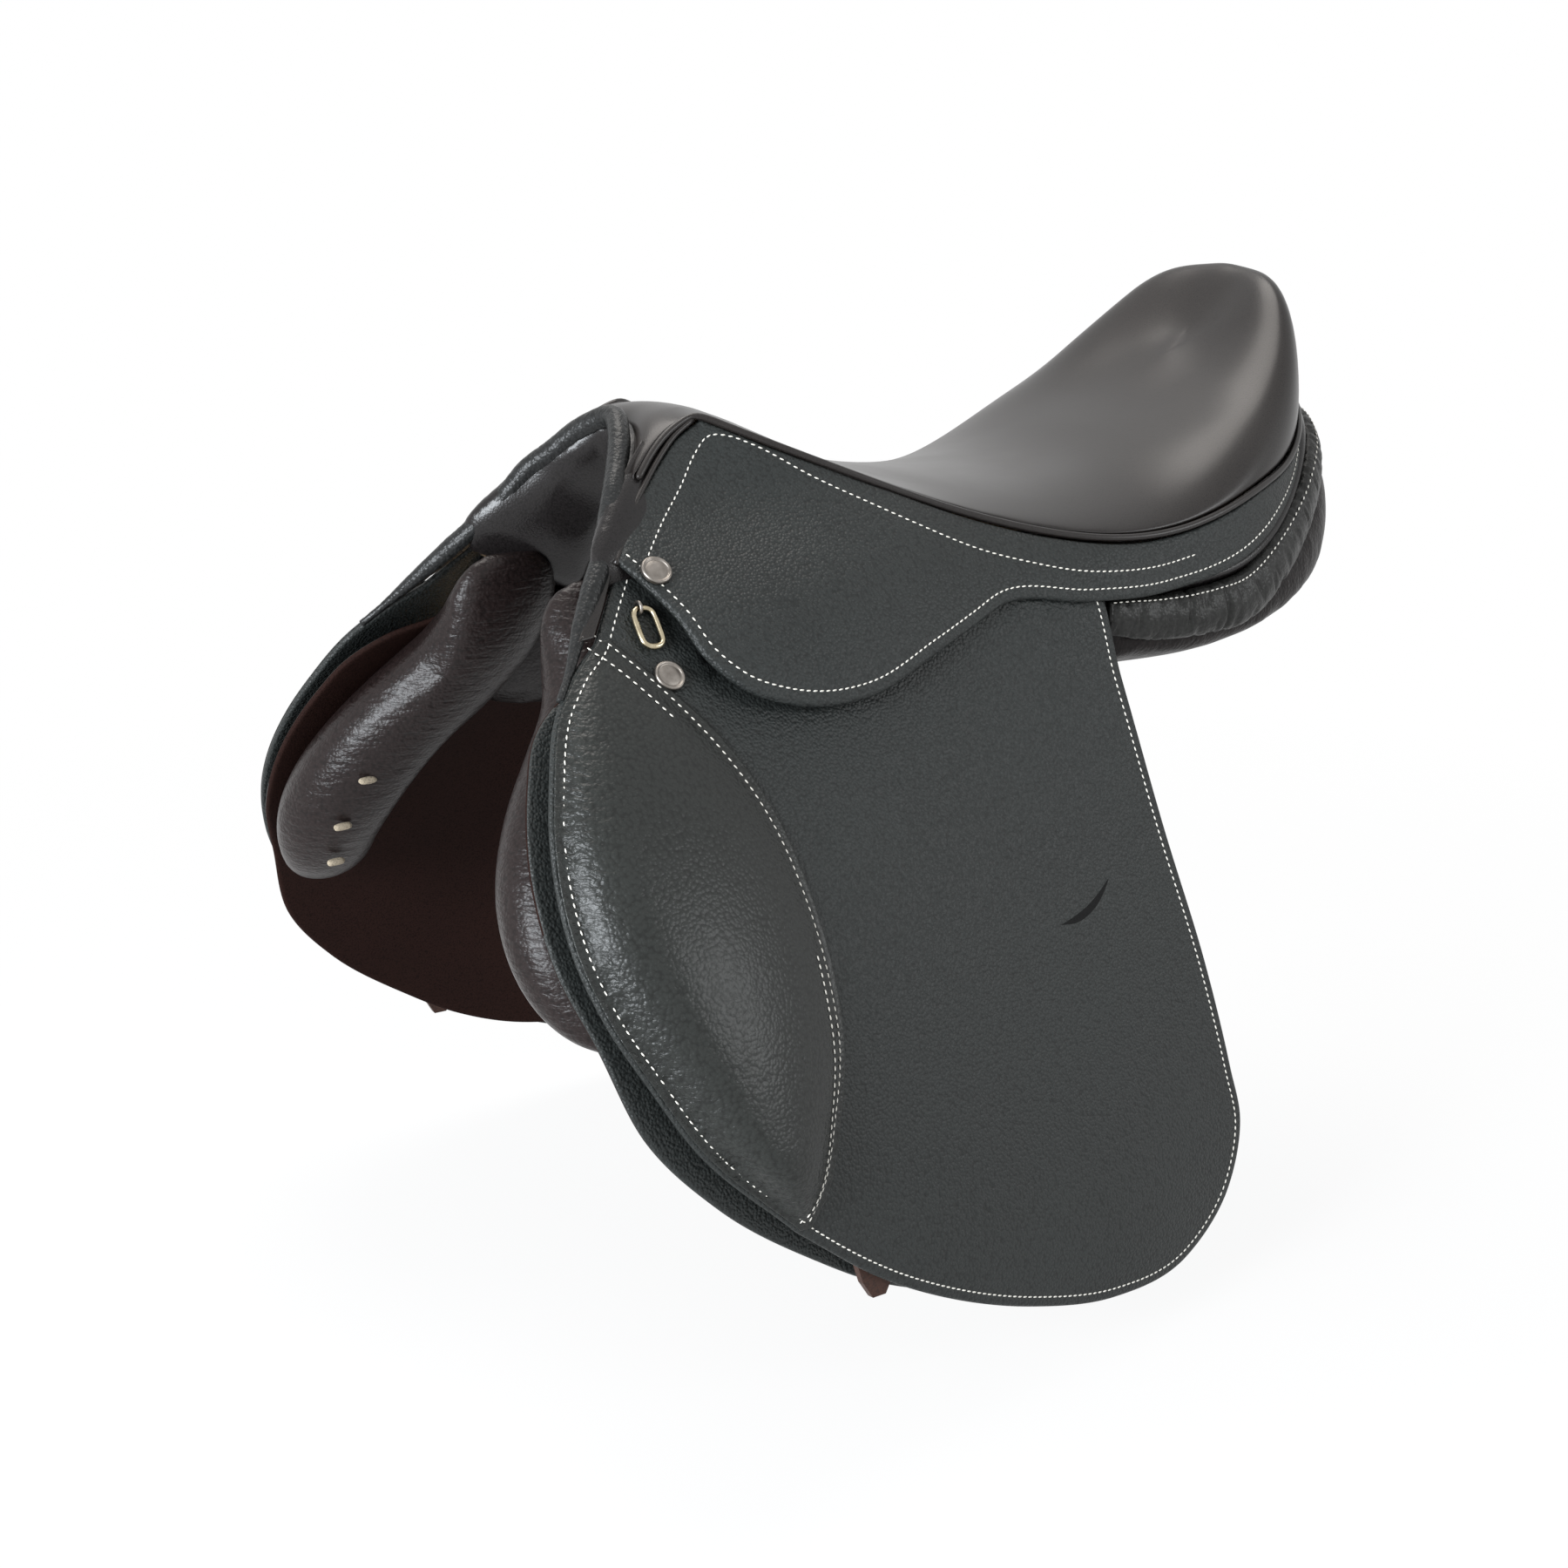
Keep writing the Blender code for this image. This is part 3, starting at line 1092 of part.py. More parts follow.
lining_top = []
lining_bottom = []
lining_faces = []
LINING_STATIONS = [x * MM for x in (-108, -80, -50, -20, 15, 50, 85, 120, 155, 190, 222, 252)]
LINING_SHARES = (-1, -0.5, 0, 0.5, 1)
for x in LINING_STATIONS:
    half = float(line(CHANNEL_HALF, x)) - GAP - 0.2 * MM
    roof = float(line(CHANNEL_LEVEL, x)) - 3 * MM
    for share in LINING_SHARES:
        rise = 5 * MM * (1 - share**2)
        lining_top.append(np.array((x, half * share, roof + rise)))
        lining_bottom.append(np.array((x, half * share, roof + rise - LINING_THICKNESS)))
for i in range(len(LINING_STATIONS) - 1):
    for j in range(len(LINING_SHARES) - 1):
        a = i * len(LINING_SHARES) + j
        b = a + len(LINING_SHARES)
        lining_faces.append([a, a + 1, b + 1, b])
thicken("channel_lining", lining_top, lining_bottom, lining_faces, "under_leather")
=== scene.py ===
"""Looks of the all-purpose English saddle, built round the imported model."""

import math

import bpy
import numpy as np
from mathutils import Matrix, Vector, noise


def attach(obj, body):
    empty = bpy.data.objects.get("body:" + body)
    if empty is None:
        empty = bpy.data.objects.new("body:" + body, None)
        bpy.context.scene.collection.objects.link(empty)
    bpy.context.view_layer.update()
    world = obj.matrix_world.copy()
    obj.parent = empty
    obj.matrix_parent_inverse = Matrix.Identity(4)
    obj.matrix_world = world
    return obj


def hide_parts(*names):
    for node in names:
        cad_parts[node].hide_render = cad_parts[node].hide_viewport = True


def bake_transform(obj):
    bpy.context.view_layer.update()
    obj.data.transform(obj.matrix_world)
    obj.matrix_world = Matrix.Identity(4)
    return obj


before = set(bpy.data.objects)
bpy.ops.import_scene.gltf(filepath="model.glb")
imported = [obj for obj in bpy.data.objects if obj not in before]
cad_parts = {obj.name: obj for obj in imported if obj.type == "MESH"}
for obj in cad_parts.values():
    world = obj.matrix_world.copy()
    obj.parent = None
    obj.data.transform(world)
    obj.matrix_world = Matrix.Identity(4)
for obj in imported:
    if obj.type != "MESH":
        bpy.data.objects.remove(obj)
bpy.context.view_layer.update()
bpy.ops.object.select_all(action="DESELECT")


# Studio: a white floor just under the flaps, a white surround, and soft lamps
# in front, above and beside the saddle. They leave one broad sheen on the seat
# and one along the front of the knee roll.
FLOOR_LEVEL = -0.43
LAMPS = (
    ("key_lamp", (-2.0, -0.55, 0.35), (-0.15, -0.05, -0.15), 0.9, 66, (0.90, 0.95, 1.0)),
    ("top_lamp", (0.1, 0.7, 2.0), (0.1, 0, 0), 1.4, 26, (1.0, 0.95, 0.90)),
    ("side_lamp", (1.3, -1.9, 0.7), (0.1, -0.1, -0.1), 0.9, 14, (0.97, 0.99, 1.0)),
)
CAMERA_PLACE = (-0.7730, -1.0047, 0.1759)
CAMERA_ANGLES = (-35.977, 15.722, 0.839)
CAMERA_LENS = 53.45


def set_inputs(node, inputs):
    """Gives inputs of a shader node, by name or number, a value or a link from another node."""
    for name, value in inputs.items():
        if isinstance(value, bpy.types.NodeSocket):
            node.id_data.links.new(value, node.inputs[name])
        else:
            node.inputs[name].default_value = value
    return node


def shader_node(tree, kind, inputs=None, **settings):
    """Adds a shader node with its settings and its inputs."""
    made = tree.nodes.new("ShaderNode" + kind)
    for name, value in settings.items():
        setattr(made, name, value)
    return set_inputs(made, inputs or {})


def new_material(name):
    """A material, its node tree and its main shader."""
    material = bpy.data.materials.new(name)
    material.use_nodes = True
    return material, material.node_tree, material.node_tree.nodes["Principled BSDF"]


def seen_directly(tree):
    """1 for what the camera sees, straight or in a reflection, and 0 for what only lights the saddle."""
    ray = shader_node(tree, "LightPath")
    share = ray.outputs["Is Camera Ray"]
    for kind in ("Is Glossy Ray", "Is Transmission Ray"):
        share = shader_node(tree, "Math", {0: share, 1: ray.outputs[kind]}, operation="MAXIMUM").outputs[0]
    return share


def white_surface(name):
    """Pale near the saddle, where it keeps the shadow, and plain white further out."""
    material, tree, shader = new_material(name)
    set_inputs(shader, {"Base Color": (0.9, 0.9, 0.9, 1), "Roughness": 0.9, "Specular IOR Level": 0.1})
    place = shader_node(tree, "TexCoord").outputs["Object"]
    away = shader_node(tree, "VectorMath", {0: place}, operation="LENGTH").outputs["Value"]
    fade = shader_node(tree, "MapRange", {"Value": away, "From Min": 0.2, "From Max": 1.3, "To Min": 0.90})
    share = shader_node(tree, "Math", {0: fade.outputs[0], 1: seen_directly(tree)}, operation="MULTIPLY")
    glow = shader_node(tree, "Emission")
    mix = shader_node(tree, "MixShader", {0: share.outputs[0], 1: shader.outputs[0], 2: glow.outputs[0]})
    set_inputs(tree.nodes["Material Output"], {"Surface": mix.outputs[0]})
    return material


bpy.ops.mesh.primitive_plane_add(size=60, location=(0, 0, FLOOR_LEVEL))
floor = bpy.context.object
floor.name = "studio_floor"
floor.data.materials.append(white_surface("floor_white"))

world = bpy.data.worlds.new("white_room")
bpy.context.scene.world = world
world.use_nodes = True
tree = world.node_tree
tree.nodes.clear()
room = shader_node(tree, "Background", {"Color": (0.90, 0.95, 1.0, 1), "Strength": 0.42})
seen = shader_node(tree, "Background", {"Color": (1, 1, 1, 1), "Strength": 1.0})
pick = shader_node(tree, "MixShader", {0: seen_directly(tree), 1: room.outputs[0], 2: seen.outputs[0]})
shader_node(tree, "OutputWorld", {"Surface": pick.outputs[0]})

for name, place, target, size, power, colour in LAMPS:
    bpy.ops.object.light_add(type="AREA", location=place)
    lamp = bpy.context.object
    lamp.name = name
    lamp.data.shape = "DISK"
    lamp.data.size = size
    lamp.data.energy = power
    lamp.data.color = colour
    lamp.rotation_euler = (Vector(target) - Vector(place)).to_track_quat("-Z", "Y").to_euler()

azimuth, elevation, roll = (math.radians(angle) for angle in CAMERA_ANGLES)
back = Vector((
    math.sin(azimuth) * math.cos(elevation), -math.cos(azimuth) * math.cos(elevation), math.sin(elevation),
))
right = Vector((math.cos(azimuth), math.sin(azimuth), 0))
up = back.cross(right)
right, up = right * math.cos(roll) + up * math.sin(roll), up * math.cos(roll) - right * math.sin(roll)
bpy.ops.object.camera_add()
camera = bpy.context.object
camera.name = "photo_camera"
camera.matrix_world = Matrix.Translation(CAMERA_PLACE) @ Matrix((right, up, back)).transposed().to_4x4()
camera.data.sensor_width = 36
camera.data.lens = CAMERA_LENS
bpy.context.scene.camera = camera
bpy.context.scene.view_settings.view_transform = "Standard"


# Seat: calf leather drawn over foam and webs, fixed under the welt on both
# sides. It is the smoothest and glossiest leather here, with a brownish tone
# where the light grazes it.
BOWL_HALF_WIDTH = 0.085
BOWL_REAR = 0.262
BOWL_FADE = 0.05


def mixed_tone(tree, share, first, second, mode="MIX"):
    """One colour turned into another by a share; the numbers are the Mix node's colour sockets."""
    tones = [tone if isinstance(tone, bpy.types.NodeSocket) else (*tone, 1) for tone in (first, second)]
    inputs = {0: share, 6: tones[0], 7: tones[1]}
    return shader_node(tree, "Mix", inputs, data_type="RGBA", blend_type=mode).outputs[2]


def leather(
    name, colour, roughness, pebble, depth, crease=None, crease_depth=0.0, tint=1.25, shine=0.26, coat=0.0,
    pulled=None,
):
    """Leather with rounded pebbles and fine valleys, these darkened as painted shade, and where asked long soft
    creases.

    pulled names the attribute that keeps the creases to where the hide is gathered.
    """
    material, tree, shader = new_material(name)
    place = shader_node(tree, "TexCoord").outputs["Object"]
    wander = shader_node(tree, "TexNoise", {"Vector": place, "Scale": pebble * 0.35, "Detail": 2})
    shift = {0: wander.outputs["Color"], 1: (0.9 / pebble,) * 3, 2: place}
    shifted = shader_node(tree, "VectorMath", shift, operation="MULTIPLY_ADD").outputs[0]
    grain = {"Vector": shifted, "Scale": pebble, "Smoothness": 0.35}
    cells = shader_node(tree, "TexVoronoi", grain, feature="SMOOTH_F1").outputs["Distance"]
    height = shader_node(tree, "Math", {0: cells, 1: -1}, operation="MULTIPLY").outputs[0]
    surface = shader_node(tree, "Bump", {"Height": height, "Strength": 1, "Distance": depth}).outputs[0]
    if crease_depth:
        stretch = shader_node(tree, "Mapping", {"Vector": place, "Scale": crease}).outputs[0]
        folds = shader_node(tree, "TexNoise", {"Vector": stretch, "Scale": 1, "Detail": 3, "Distortion": 0.6})
        rise = folds.outputs["Fac"]
        if pulled:
            mask = shader_node(tree, "Attribute", attribute_name=pulled).outputs["Fac"]
            rise = shader_node(tree, "Math", {0: rise, 1: mask}, operation="MULTIPLY").outputs[0]
        creases = {"Height": rise, "Strength": 1, "Distance": crease_depth, "Normal": surface}
        surface = shader_node(tree, "Bump", creases).outputs[0]
    patches = shader_node(tree, "TexNoise", {"Vector": place, "Scale": 14, "Detail": 4}).outputs["Fac"]
    shade = mixed_tone(tree, patches, [c * 0.82 for c in colour], [c * tint for c in colour])
    # Painted shade: the valleys between the pebbles are darkened to 0.55 of the tone, as if shaded.
    valley_shade = shader_node(tree, "MapRange", {"Value": cells, "From Min": 0.45, "From Max": 0.8}).outputs[0]
    tone = mixed_tone(tree, valley_shade, shade, (0.55, 0.55, 0.55), mode="MULTIPLY")
    gloss = {"Value": patches, "To Min": roughness - 0.06, "To Max": roughness + 0.08}
    set_inputs(shader, {
        "Normal": surface, "Base Color": tone, "Roughness": shader_node(tree, "MapRange", gloss).outputs[0],
        "Specular IOR Level": shine, "Coat Weight": coat, "Coat Roughness": 0.25,
    })
    return material


def named(piece, name):
    """Gives a piece and its mesh one name."""
    piece.name = name
    piece.data.name = name
    return piece


def picked(piece):
    """Selects one piece alone and makes it the active one."""
    bpy.ops.object.select_all(action="DESELECT")
    piece.select_set(True)
    bpy.context.view_layer.objects.active = piece


def copied(source, name):
    """A merged copy of a frame node, its own mesh, with quads again where they were."""
    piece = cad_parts[source].copy()
    piece.data = piece.data.copy()
    named(piece, name)
    for key in list(piece.keys()):
        del piece[key]
    piece.parent = None
    bpy.context.scene.collection.objects.link(piece)
    piece.hide_render = False
    piece.hide_viewport = False
    picked(piece)
    bpy.ops.object.mode_set(mode="EDIT")
    bpy.ops.mesh.select_all(action="SELECT")
    bpy.ops.mesh.remove_doubles(threshold=0.00005)
    bpy.ops.mesh.tris_convert_to_quads(face_threshold=math.pi, shape_threshold=math.pi)
    bpy.ops.mesh.normals_make_consistent(inside=False)
    bpy.ops.object.mode_set(mode="OBJECT")
    return piece


def applied(piece, kind, **values):
    """Adds a modifier, sets it and applies it."""
    made = piece.modifiers.new(kind.lower(), kind)
    for key, value in values.items():
        setattr(made, key, value)
    picked(piece)
    bpy.ops.object.modifier_apply(modifier=made.name)


def dressed(piece, material, body=None):
    """One material, smooth shading and, if given, its body."""
    piece.data.materials.clear()
    piece.data.materials.append(material)
    picked(piece)
    bpy.ops.object.shade_smooth()
    if body:
        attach(piece, body)
    return piece


seat_hide = leather(
    "seat_calf", (0.0150, 0.0125, 0.0115), 0.32, pebble=1500, depth=0.00003, tint=1.5, coat=0.15,
)
seat = copied("seat_cover", "seat_leather")
applied(seat, "SUBSURF", levels=2, render_levels=2)
applied(seat, "SMOOTH", factor=0.5, iterations=6)
bowl = seat.vertex_groups.new(name="bowl")
for vertex in seat.data.vertices:
    x, y, z = vertex.co
    across = max(0, 1 - (y / BOWL_HALF_WIDTH) ** 2)
    bowl.add([vertex.index], across * min(1, max(0, (BOWL_REAR - x) / BOWL_FADE)), "REPLACE")
applied(seat, "SMOOTH", factor=0.6, iterations=90, vertex_group="bowl")
dressed(seat, seat_hide, "saddle")
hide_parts("seat_cover")


# Flaps: thick grained hide, cut to one pattern for each side and hung from the
# tree under the skirt. The side of the saddle that they lie on is given as how
# far it stands out from the seat's edge at each station and level.
SIDES = (("left", -1), ("right", 1))
MM = 0.001
SEAT_HALF_WIDTH = 0.125
CANTLE_START = 0.120
CANTLE_REACH = 0.167
SQUARENESS = 2.4
BEND_STATION = -0.08
BEND_LEVEL = -0.100
BEND_OUT = -0.0015
BEND_OUT_STATION = -0.200
BEND_FLARE = 0.05
FLAP_DROP = 0.304
FLAP_BEND = 0.009
FLAP_THICK = 0.0038
PATTERN_STEP = 0.003
EDGE_RINGS = (0.12, 0.24, 0.36, 0.9)
EDGE_ROUND = 2.2
BAR_WINDOW = tuple(v * MM for v in (-162, -84, -71, -50))
WELT_OUT = ((-127, -95), (-88, -74.5), (-44, -58), (1, -42), (45, -23), (88, -9), (125, -5), (355, -5))
WELT_LEVEL = (
    (-127, 37), (-88, 19), (-44, 0.5), (1, -17), (45, -29), (88, -34), (125, -31),
    (157, -23), (190, -12), (227, -1), (258, 14), (300, 32), (355, 42),
)
HEM_OUT = ((-300, 106), (-60, 106), (30, 102), (120, 88))
TOP_SLOPE = (
    (-300, 0.33), (-127, 0.33), (-46, 0.9), (1, 1.2), (60, 1.0), (125, 0.45), (200, 0.25), (355, 0.15),
)
BEND_SLOPE = ((-300, 0.75), (-200, 0.75), (0, 0.45), (120, 0.35), (355, 0.3))
FLAP_FRONT = (
    (-218, -57), (-236, -69), (-253, -86), (-266, -110), (-274, -130), (-279, -154),
    (-279, -177), (-272, -205), (-258, -234), (-241, -264), (-194, -312),
)
FLAP_HEM_AND_REAR = (
    (-194, -312), (-147, -347), (-102, -371), (-52, -390), (8, -403), (64, -400), (103, -375), (118, -339),
    (113, -309), (102, -250), (87, -179), (78, -111), (75, -84), (70, -52),
)
FLAP_TOP = (
    (70, -52), (45, -42), (1, -29), (-46, -11), (-92, 8), (-128, 22), (-148, 17), (-168, -6), (-192, -29),
    (-218, -57),
)


def cubic_shares(u):
    """Shares of the start, its slope, the end and its slope in a cubic that runs from 0 to 1."""
    return 2 * u**3 - 3 * u**2 + 1, u**3 - 2 * u**2 + u, 3 * u**2 - 2 * u**3, u**3 - u**2


def line(table, station):
    """Smooth curve through a few stations; millimetres in the table, metres in and out."""
    xs, ys = np.array(table, float).T
    steps = np.diff(xs)
    rises = np.diff(ys) / steps
    between = (rises[:-1] * steps[1:] + rises[1:] * steps[:-1]) / (steps[1:] + steps[:-1])
    slopes = np.concatenate((rises[:1], between, rises[-1:]))
    at = np.clip(np.asarray(station, float) / MM, xs[0], xs[-1])
    i = np.clip(np.searchsorted(xs, at) - 1, 0, len(xs) - 2)
    a, b, c, d = cubic_shares((at - xs[i]) / steps[i])
    return (a * ys[i] + b * steps[i] * slopes[i] + c * ys[i + 1] + d * steps[i] * slopes[i + 1]) * MM


ANGLES = np.linspace(0, math.pi / 2, 1201)
ARC_X = CANTLE_START + CANTLE_REACH * np.sin(ANGLES) ** (2 / SQUARENESS)
ARC_Y = SEAT_HALF_WIDTH * np.cos(ANGLES) ** (2 / SQUARENESS)
ARC_RUN = np.concatenate(([0], np.cumsum(np.hypot(np.diff(ARC_X), np.diff(ARC_Y)))))


def seat_edge(t):
    """Plan point and outward direction at a station along the seat's edge."""
    t = np.asarray(t, float)
    run = np.maximum(t - CANTLE_START, 0)
    x = np.where(t < CANTLE_START, t, np.interp(run, ARC_RUN, ARC_X))
    y = np.interp(run, ARC_RUN, ARC_Y)
    nx = (np.maximum(x - CANTLE_START, 0) / CANTLE_REACH) ** (SQUARENESS - 1) / CANTLE_REACH
    ny = (np.maximum(y, 0) / SEAT_HALF_WIDTH) ** (SQUARENESS - 1) / SEAT_HALF_WIDTH
    size = np.hypot(nx, ny)
    return x, y, nx / size, ny / size


def side_out(t, z):
    """How far the flap's outer face stands out from the seat's edge."""
    top_out = line(WELT_OUT, t)
    bend_out = BEND_OUT + (t - BEND_OUT_STATION) * BEND_FLARE
    drop = line(WELT_LEVEL, t) - BEND_LEVEL
    top_slope = line(TOP_SLOPE, t) / MM
    bend_slope = line(BEND_SLOPE, t) / MM
    u = (drop + BEND_LEVEL - z) / drop
    above = np.minimum(u, 0) * drop * top_slope
    a, b, c, d = cubic_shares(np.clip(u, 0, 1))
    upper = a * top_out + b * top_slope * drop + c * bend_out + d * bend_slope * drop + above
    share = np.clip((BEND_LEVEL - z) / FLAP_DROP, 0, 1)
    hem_out = line(HEM_OUT, t)
    fullness = bend_slope * FLAP_DROP / (hem_out - bend_out)
    lower = bend_out + (hem_out - bend_out) * (1 - (1 - share) ** fullness)
    return np.where(z > BEND_LEVEL, upper, lower)


def on_side(t, z, depth, side):
    """Points of the saddle's side at a depth below the flap's outer face."""
    t, z, depth = (np.asarray(v, float) for v in np.broadcast_arrays(t, z, depth))
    step = 0.0005
    slope = (side_out(t, z - step) - side_out(t, z + step)) / (2 * step)
    size = np.sqrt(1 + slope**2)
    out = side_out(t, z) - depth / size
    x, y, nx, ny = seat_edge(t)
    return np.stack([x + nx * out, side * (y + ny * out), z - depth * slope / size], -1)


def lengths(points):
    """How far along a row of points each one lies."""
    return np.concatenate(([0], np.cumsum(np.linalg.norm(np.diff(points, axis=0), axis=1))))


def smooth_run(points, spacing):
    """Evenly spaced points on a smooth curve through the given ones, all in metres."""
    points = np.asarray(points, float)
    chord = lengths(points)
    at = np.linspace(0, chord[-1], max(2, int(round(chord[-1] / spacing)) + 1))
    axes = range(points.shape[1])
    return np.column_stack([line(np.column_stack((chord, points[:, axis])) / MM, at) for axis in axes])


def pattern_run(points, spacing=PATTERN_STEP):
    """The same through points in millimetres, as a leather pattern has them."""
    return smooth_run(np.array(points) * MM, spacing)


def pattern_edge(*runs):
    """Runs of a leather pattern joined into one closed outline."""
    return np.concatenate([pattern_run(run)[:-1] for run in runs])


def edge_distance(spots, shape):
    """Distance of each spot of a pattern from its cut edge."""
    step = np.roll(shape, -1, axis=0) - shape
    best = np.full(len(spots), 1e9)
    for a, d in zip(shape, step):
        share = np.clip(((spots - a) @ d) / max(d @ d, 1e-18), 0, 1)
        best = np.minimum(best, np.linalg.norm(spots - a - share[:, None] * d, axis=1))
    return best


def at_depth(depth):
    """A layer's grain side that keeps one depth below the flap's outer face."""
    return lambda t, z: depth + 0 * t


def faces_out(merge=0.0):
    """Merges the active piece's points where asked, and turns its faces outwards."""
    bpy.ops.object.mode_set(mode="EDIT")
    bpy.ops.mesh.select_all(action="SELECT")
    if merge:
        bpy.ops.mesh.remove_doubles(threshold=merge)
    bpy.ops.mesh.normals_make_consistent(inside=False)
    bpy.ops.object.mode_set(mode="OBJECT")


def laid(name, shape, outer, side, thick, round_edge=0.0016, cell=0.010, window=None, pull=None):
    """A hide cut to a pattern, laid on the saddle's side, its edge rounded.

    outer(t, z) is the depth of its grain side, window an opening cut in it, and
    pull(t, z) how much the hide is gathered, kept as an attribute.
    """
    bpy.ops.object.select_all(action="DESELECT")
    bpy.ops.mesh.primitive_circle_add(vertices=len(shape), radius=1, fill_type="NGON")
    hide = named(bpy.context.object, name)
    for vertex, (t, z) in zip(hide.data.vertices, shape):
        vertex.co = (t, z, 0)
    bpy.ops.object.mode_set(mode="EDIT")
    bpy.ops.mesh.select_all(action="SELECT")
    for width in EDGE_RINGS:
        bpy.ops.mesh.inset(thickness=round_edge * width, use_even_offset=False, use_boundary=True)
    low = shape.min(axis=0)
    high = shape.max(axis=0)
    cuts = []
    for axis in (0, 1):
        for step in range(int(low[axis] / cell) - 1, int(high[axis] / cell) + 2):
            if low[axis] < step * cell < high[axis]:
                cuts.append((axis, step * cell))
    if window:
        cuts += [(0, window[0]), (0, window[1]), (1, window[2]), (1, window[3])]
    for axis, at in cuts:
        bpy.ops.mesh.select_all(action="SELECT")
        place = (at, 0, 0) if axis == 0 else (0, at, 0)
        bpy.ops.mesh.bisect(plane_co=place, plane_no=(1 - axis, axis, 0), threshold=0.00002)
    bpy.ops.mesh.select_all(action="SELECT")
    bpy.ops.mesh.quads_convert_to_tris(quad_method="BEAUTY", ngon_method="BEAUTY")
    bpy.ops.object.mode_set(mode="OBJECT")
    spots = np.array([vertex.co[:2] for vertex in hide.data.vertices])
    faces = [tuple(face.vertices) for face in hide.data.polygons]
    if window:
        t, z = np.array([spots[list(face)].mean(axis=0) for face in faces]).T
        inside = (t > window[0]) & (t < window[1]) & (z > window[2]) & (z < window[3])
        faces = [face for face, gone in zip(faces, inside) if not gone]
    used = sorted({i for face in faces for i in face})
    new = {old: i for i, old in enumerate(used)}
    spots = spots[used]
    faces = [tuple(new[i] for i in face) for face in faces]
    count = len(spots)
    away = edge_distance(spots, shape)
    lift = thick / 2 * (1 - np.clip(1 - away / round_edge, 0, 1) ** EDGE_ROUND) ** (1 / EDGE_ROUND)
    depth = outer(spots[:, 0], spots[:, 1]) + thick / 2
    points = np.concatenate((on_side(*spots.T, depth - lift, side), on_side(*spots.T, depth + lift, side)))
    backs = [tuple(i + count for i in reversed(face)) for face in faces]
    edges = dict.fromkeys(pair for face in faces for pair in zip(face, face[1:] + face[:1]))
    rims = [(a, b) for a, b in edges if (b, a) not in edges and (away[a] > 1e-5 or away[b] > 1e-5)]
    walls = [(b, a, a + count, b + count) for a, b in rims]
    mesh = bpy.data.meshes.new(name)
    mesh.from_pydata(points.tolist(), [], faces + backs + walls)
    if pull:
        drawn = mesh.attributes.new("pull", "FLOAT", "POINT")
        drawn.data.foreach_set("value", np.tile(pull(*spots.T), 2))
    hide.data = mesh
    faces_out(merge=0.000005)
    return hide


def bends_with_flap(piece, side):
    """Bakes the piece's place into its mesh; the points either side of the flap's bend are found but not used.
    """
    top = on_side(BEND_STATION, BEND_LEVEL + FLAP_BEND, 0, side)
    foot = on_side(BEND_STATION, BEND_LEVEL - FLAP_BEND, 0, side)
    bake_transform(piece)


grained = leather("grained_hide", (0.0185, 0.0208, 0.0200), 0.45, pebble=640, depth=0.00050, tint=1.3)
flap_shape = pattern_edge(FLAP_FRONT, FLAP_HEM_AND_REAR, FLAP_TOP)
for label, side in SIDES:
    flap = laid(
        "flap_hide_" + label, flap_shape, at_depth(0), side, FLAP_THICK, round_edge=0.0020, window=BAR_WINDOW,
    )
    dressed(flap, grained)
    bends_with_flap(flap, side)
    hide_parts("flap_" + label, "flap_head_" + label)


# Skirts: the same grained hide, sewn into the seam under the welt. The rear
# half lies flat along the cantle; the front half swells over the stirrup bar
# and hides it.
SKIRT_FRONT = ((-194, -28), (-175, -6), (-152.5, 15.5), (-140, 26), (-126.5, 33))
SKIRT_EDGE = (
    (258, 11), (235, -11), (209, -28), (172, -47), (112, -60), (59, -61), (6, -59), (-11, -66), (-40, -78),
    (-87, -95), (-113, -97), (-136, -94), (-157, -86), (-171, -72), (-177, -55), (-183.5, -43), (-194, -28),
)
SKIRT_TOP = (-0.125, 0.252)
SKIRT_UNDER_WELT = 0.0015
SKIRT_OUTER = -0.0054
SKIRT_THICK = 0.0044
BAR_SWELL = 0.011
LOBE_START = np.array((-0.178, -0.044))
LOBE_END = np.array((0.006, -0.060))
LOBE_BEND = 0.012


def hump(value, centre, reach):
    """1 at a centre, down to 0 at its reach on both sides."""
    return (1 - np.clip(np.abs(value - centre) / reach, 0, 1) ** 2) ** 2


def skirt_outer(t, z):
    """Depth of the skirt's grain side, which swells over the stirrup bar."""
    return SKIRT_OUTER - BAR_SWELL * hump(t, -0.112, 0.130) * hump(z, -0.060, 0.062)


def bends_with_skirt(piece, side):
    """Bakes the piece's place into its mesh; the points either side of the lobe's bend are found but not used.
    """
    middle = (LOBE_START + LOBE_END) / 2
    run = LOBE_END - LOBE_START
    down = np.array((run[1], -run[0])) / np.linalg.norm(run)
    top, foot = (on_side(*(middle + down * way), -0.010, side) for way in (-LOBE_BEND, LOBE_BEND))
    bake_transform(piece)


stations = np.linspace(*SKIRT_TOP, 120)
skirt_top = np.column_stack((stations, line(WELT_LEVEL, stations) - SKIRT_UNDER_WELT))
skirt_shape = np.concatenate((pattern_run(SKIRT_FRONT), skirt_top, pattern_run(SKIRT_EDGE)[:-1]))
for label, side in SIDES:
    skirt = laid(
        "skirt_hide_" + label, skirt_shape, skirt_outer, side, SKIRT_THICK, round_edge=0.0020, cell=0.008,
    )
    dressed(skirt, grained)
    bends_with_skirt(skirt, side)
    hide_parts("skirt_" + label, "skirt_lobe_" + label)


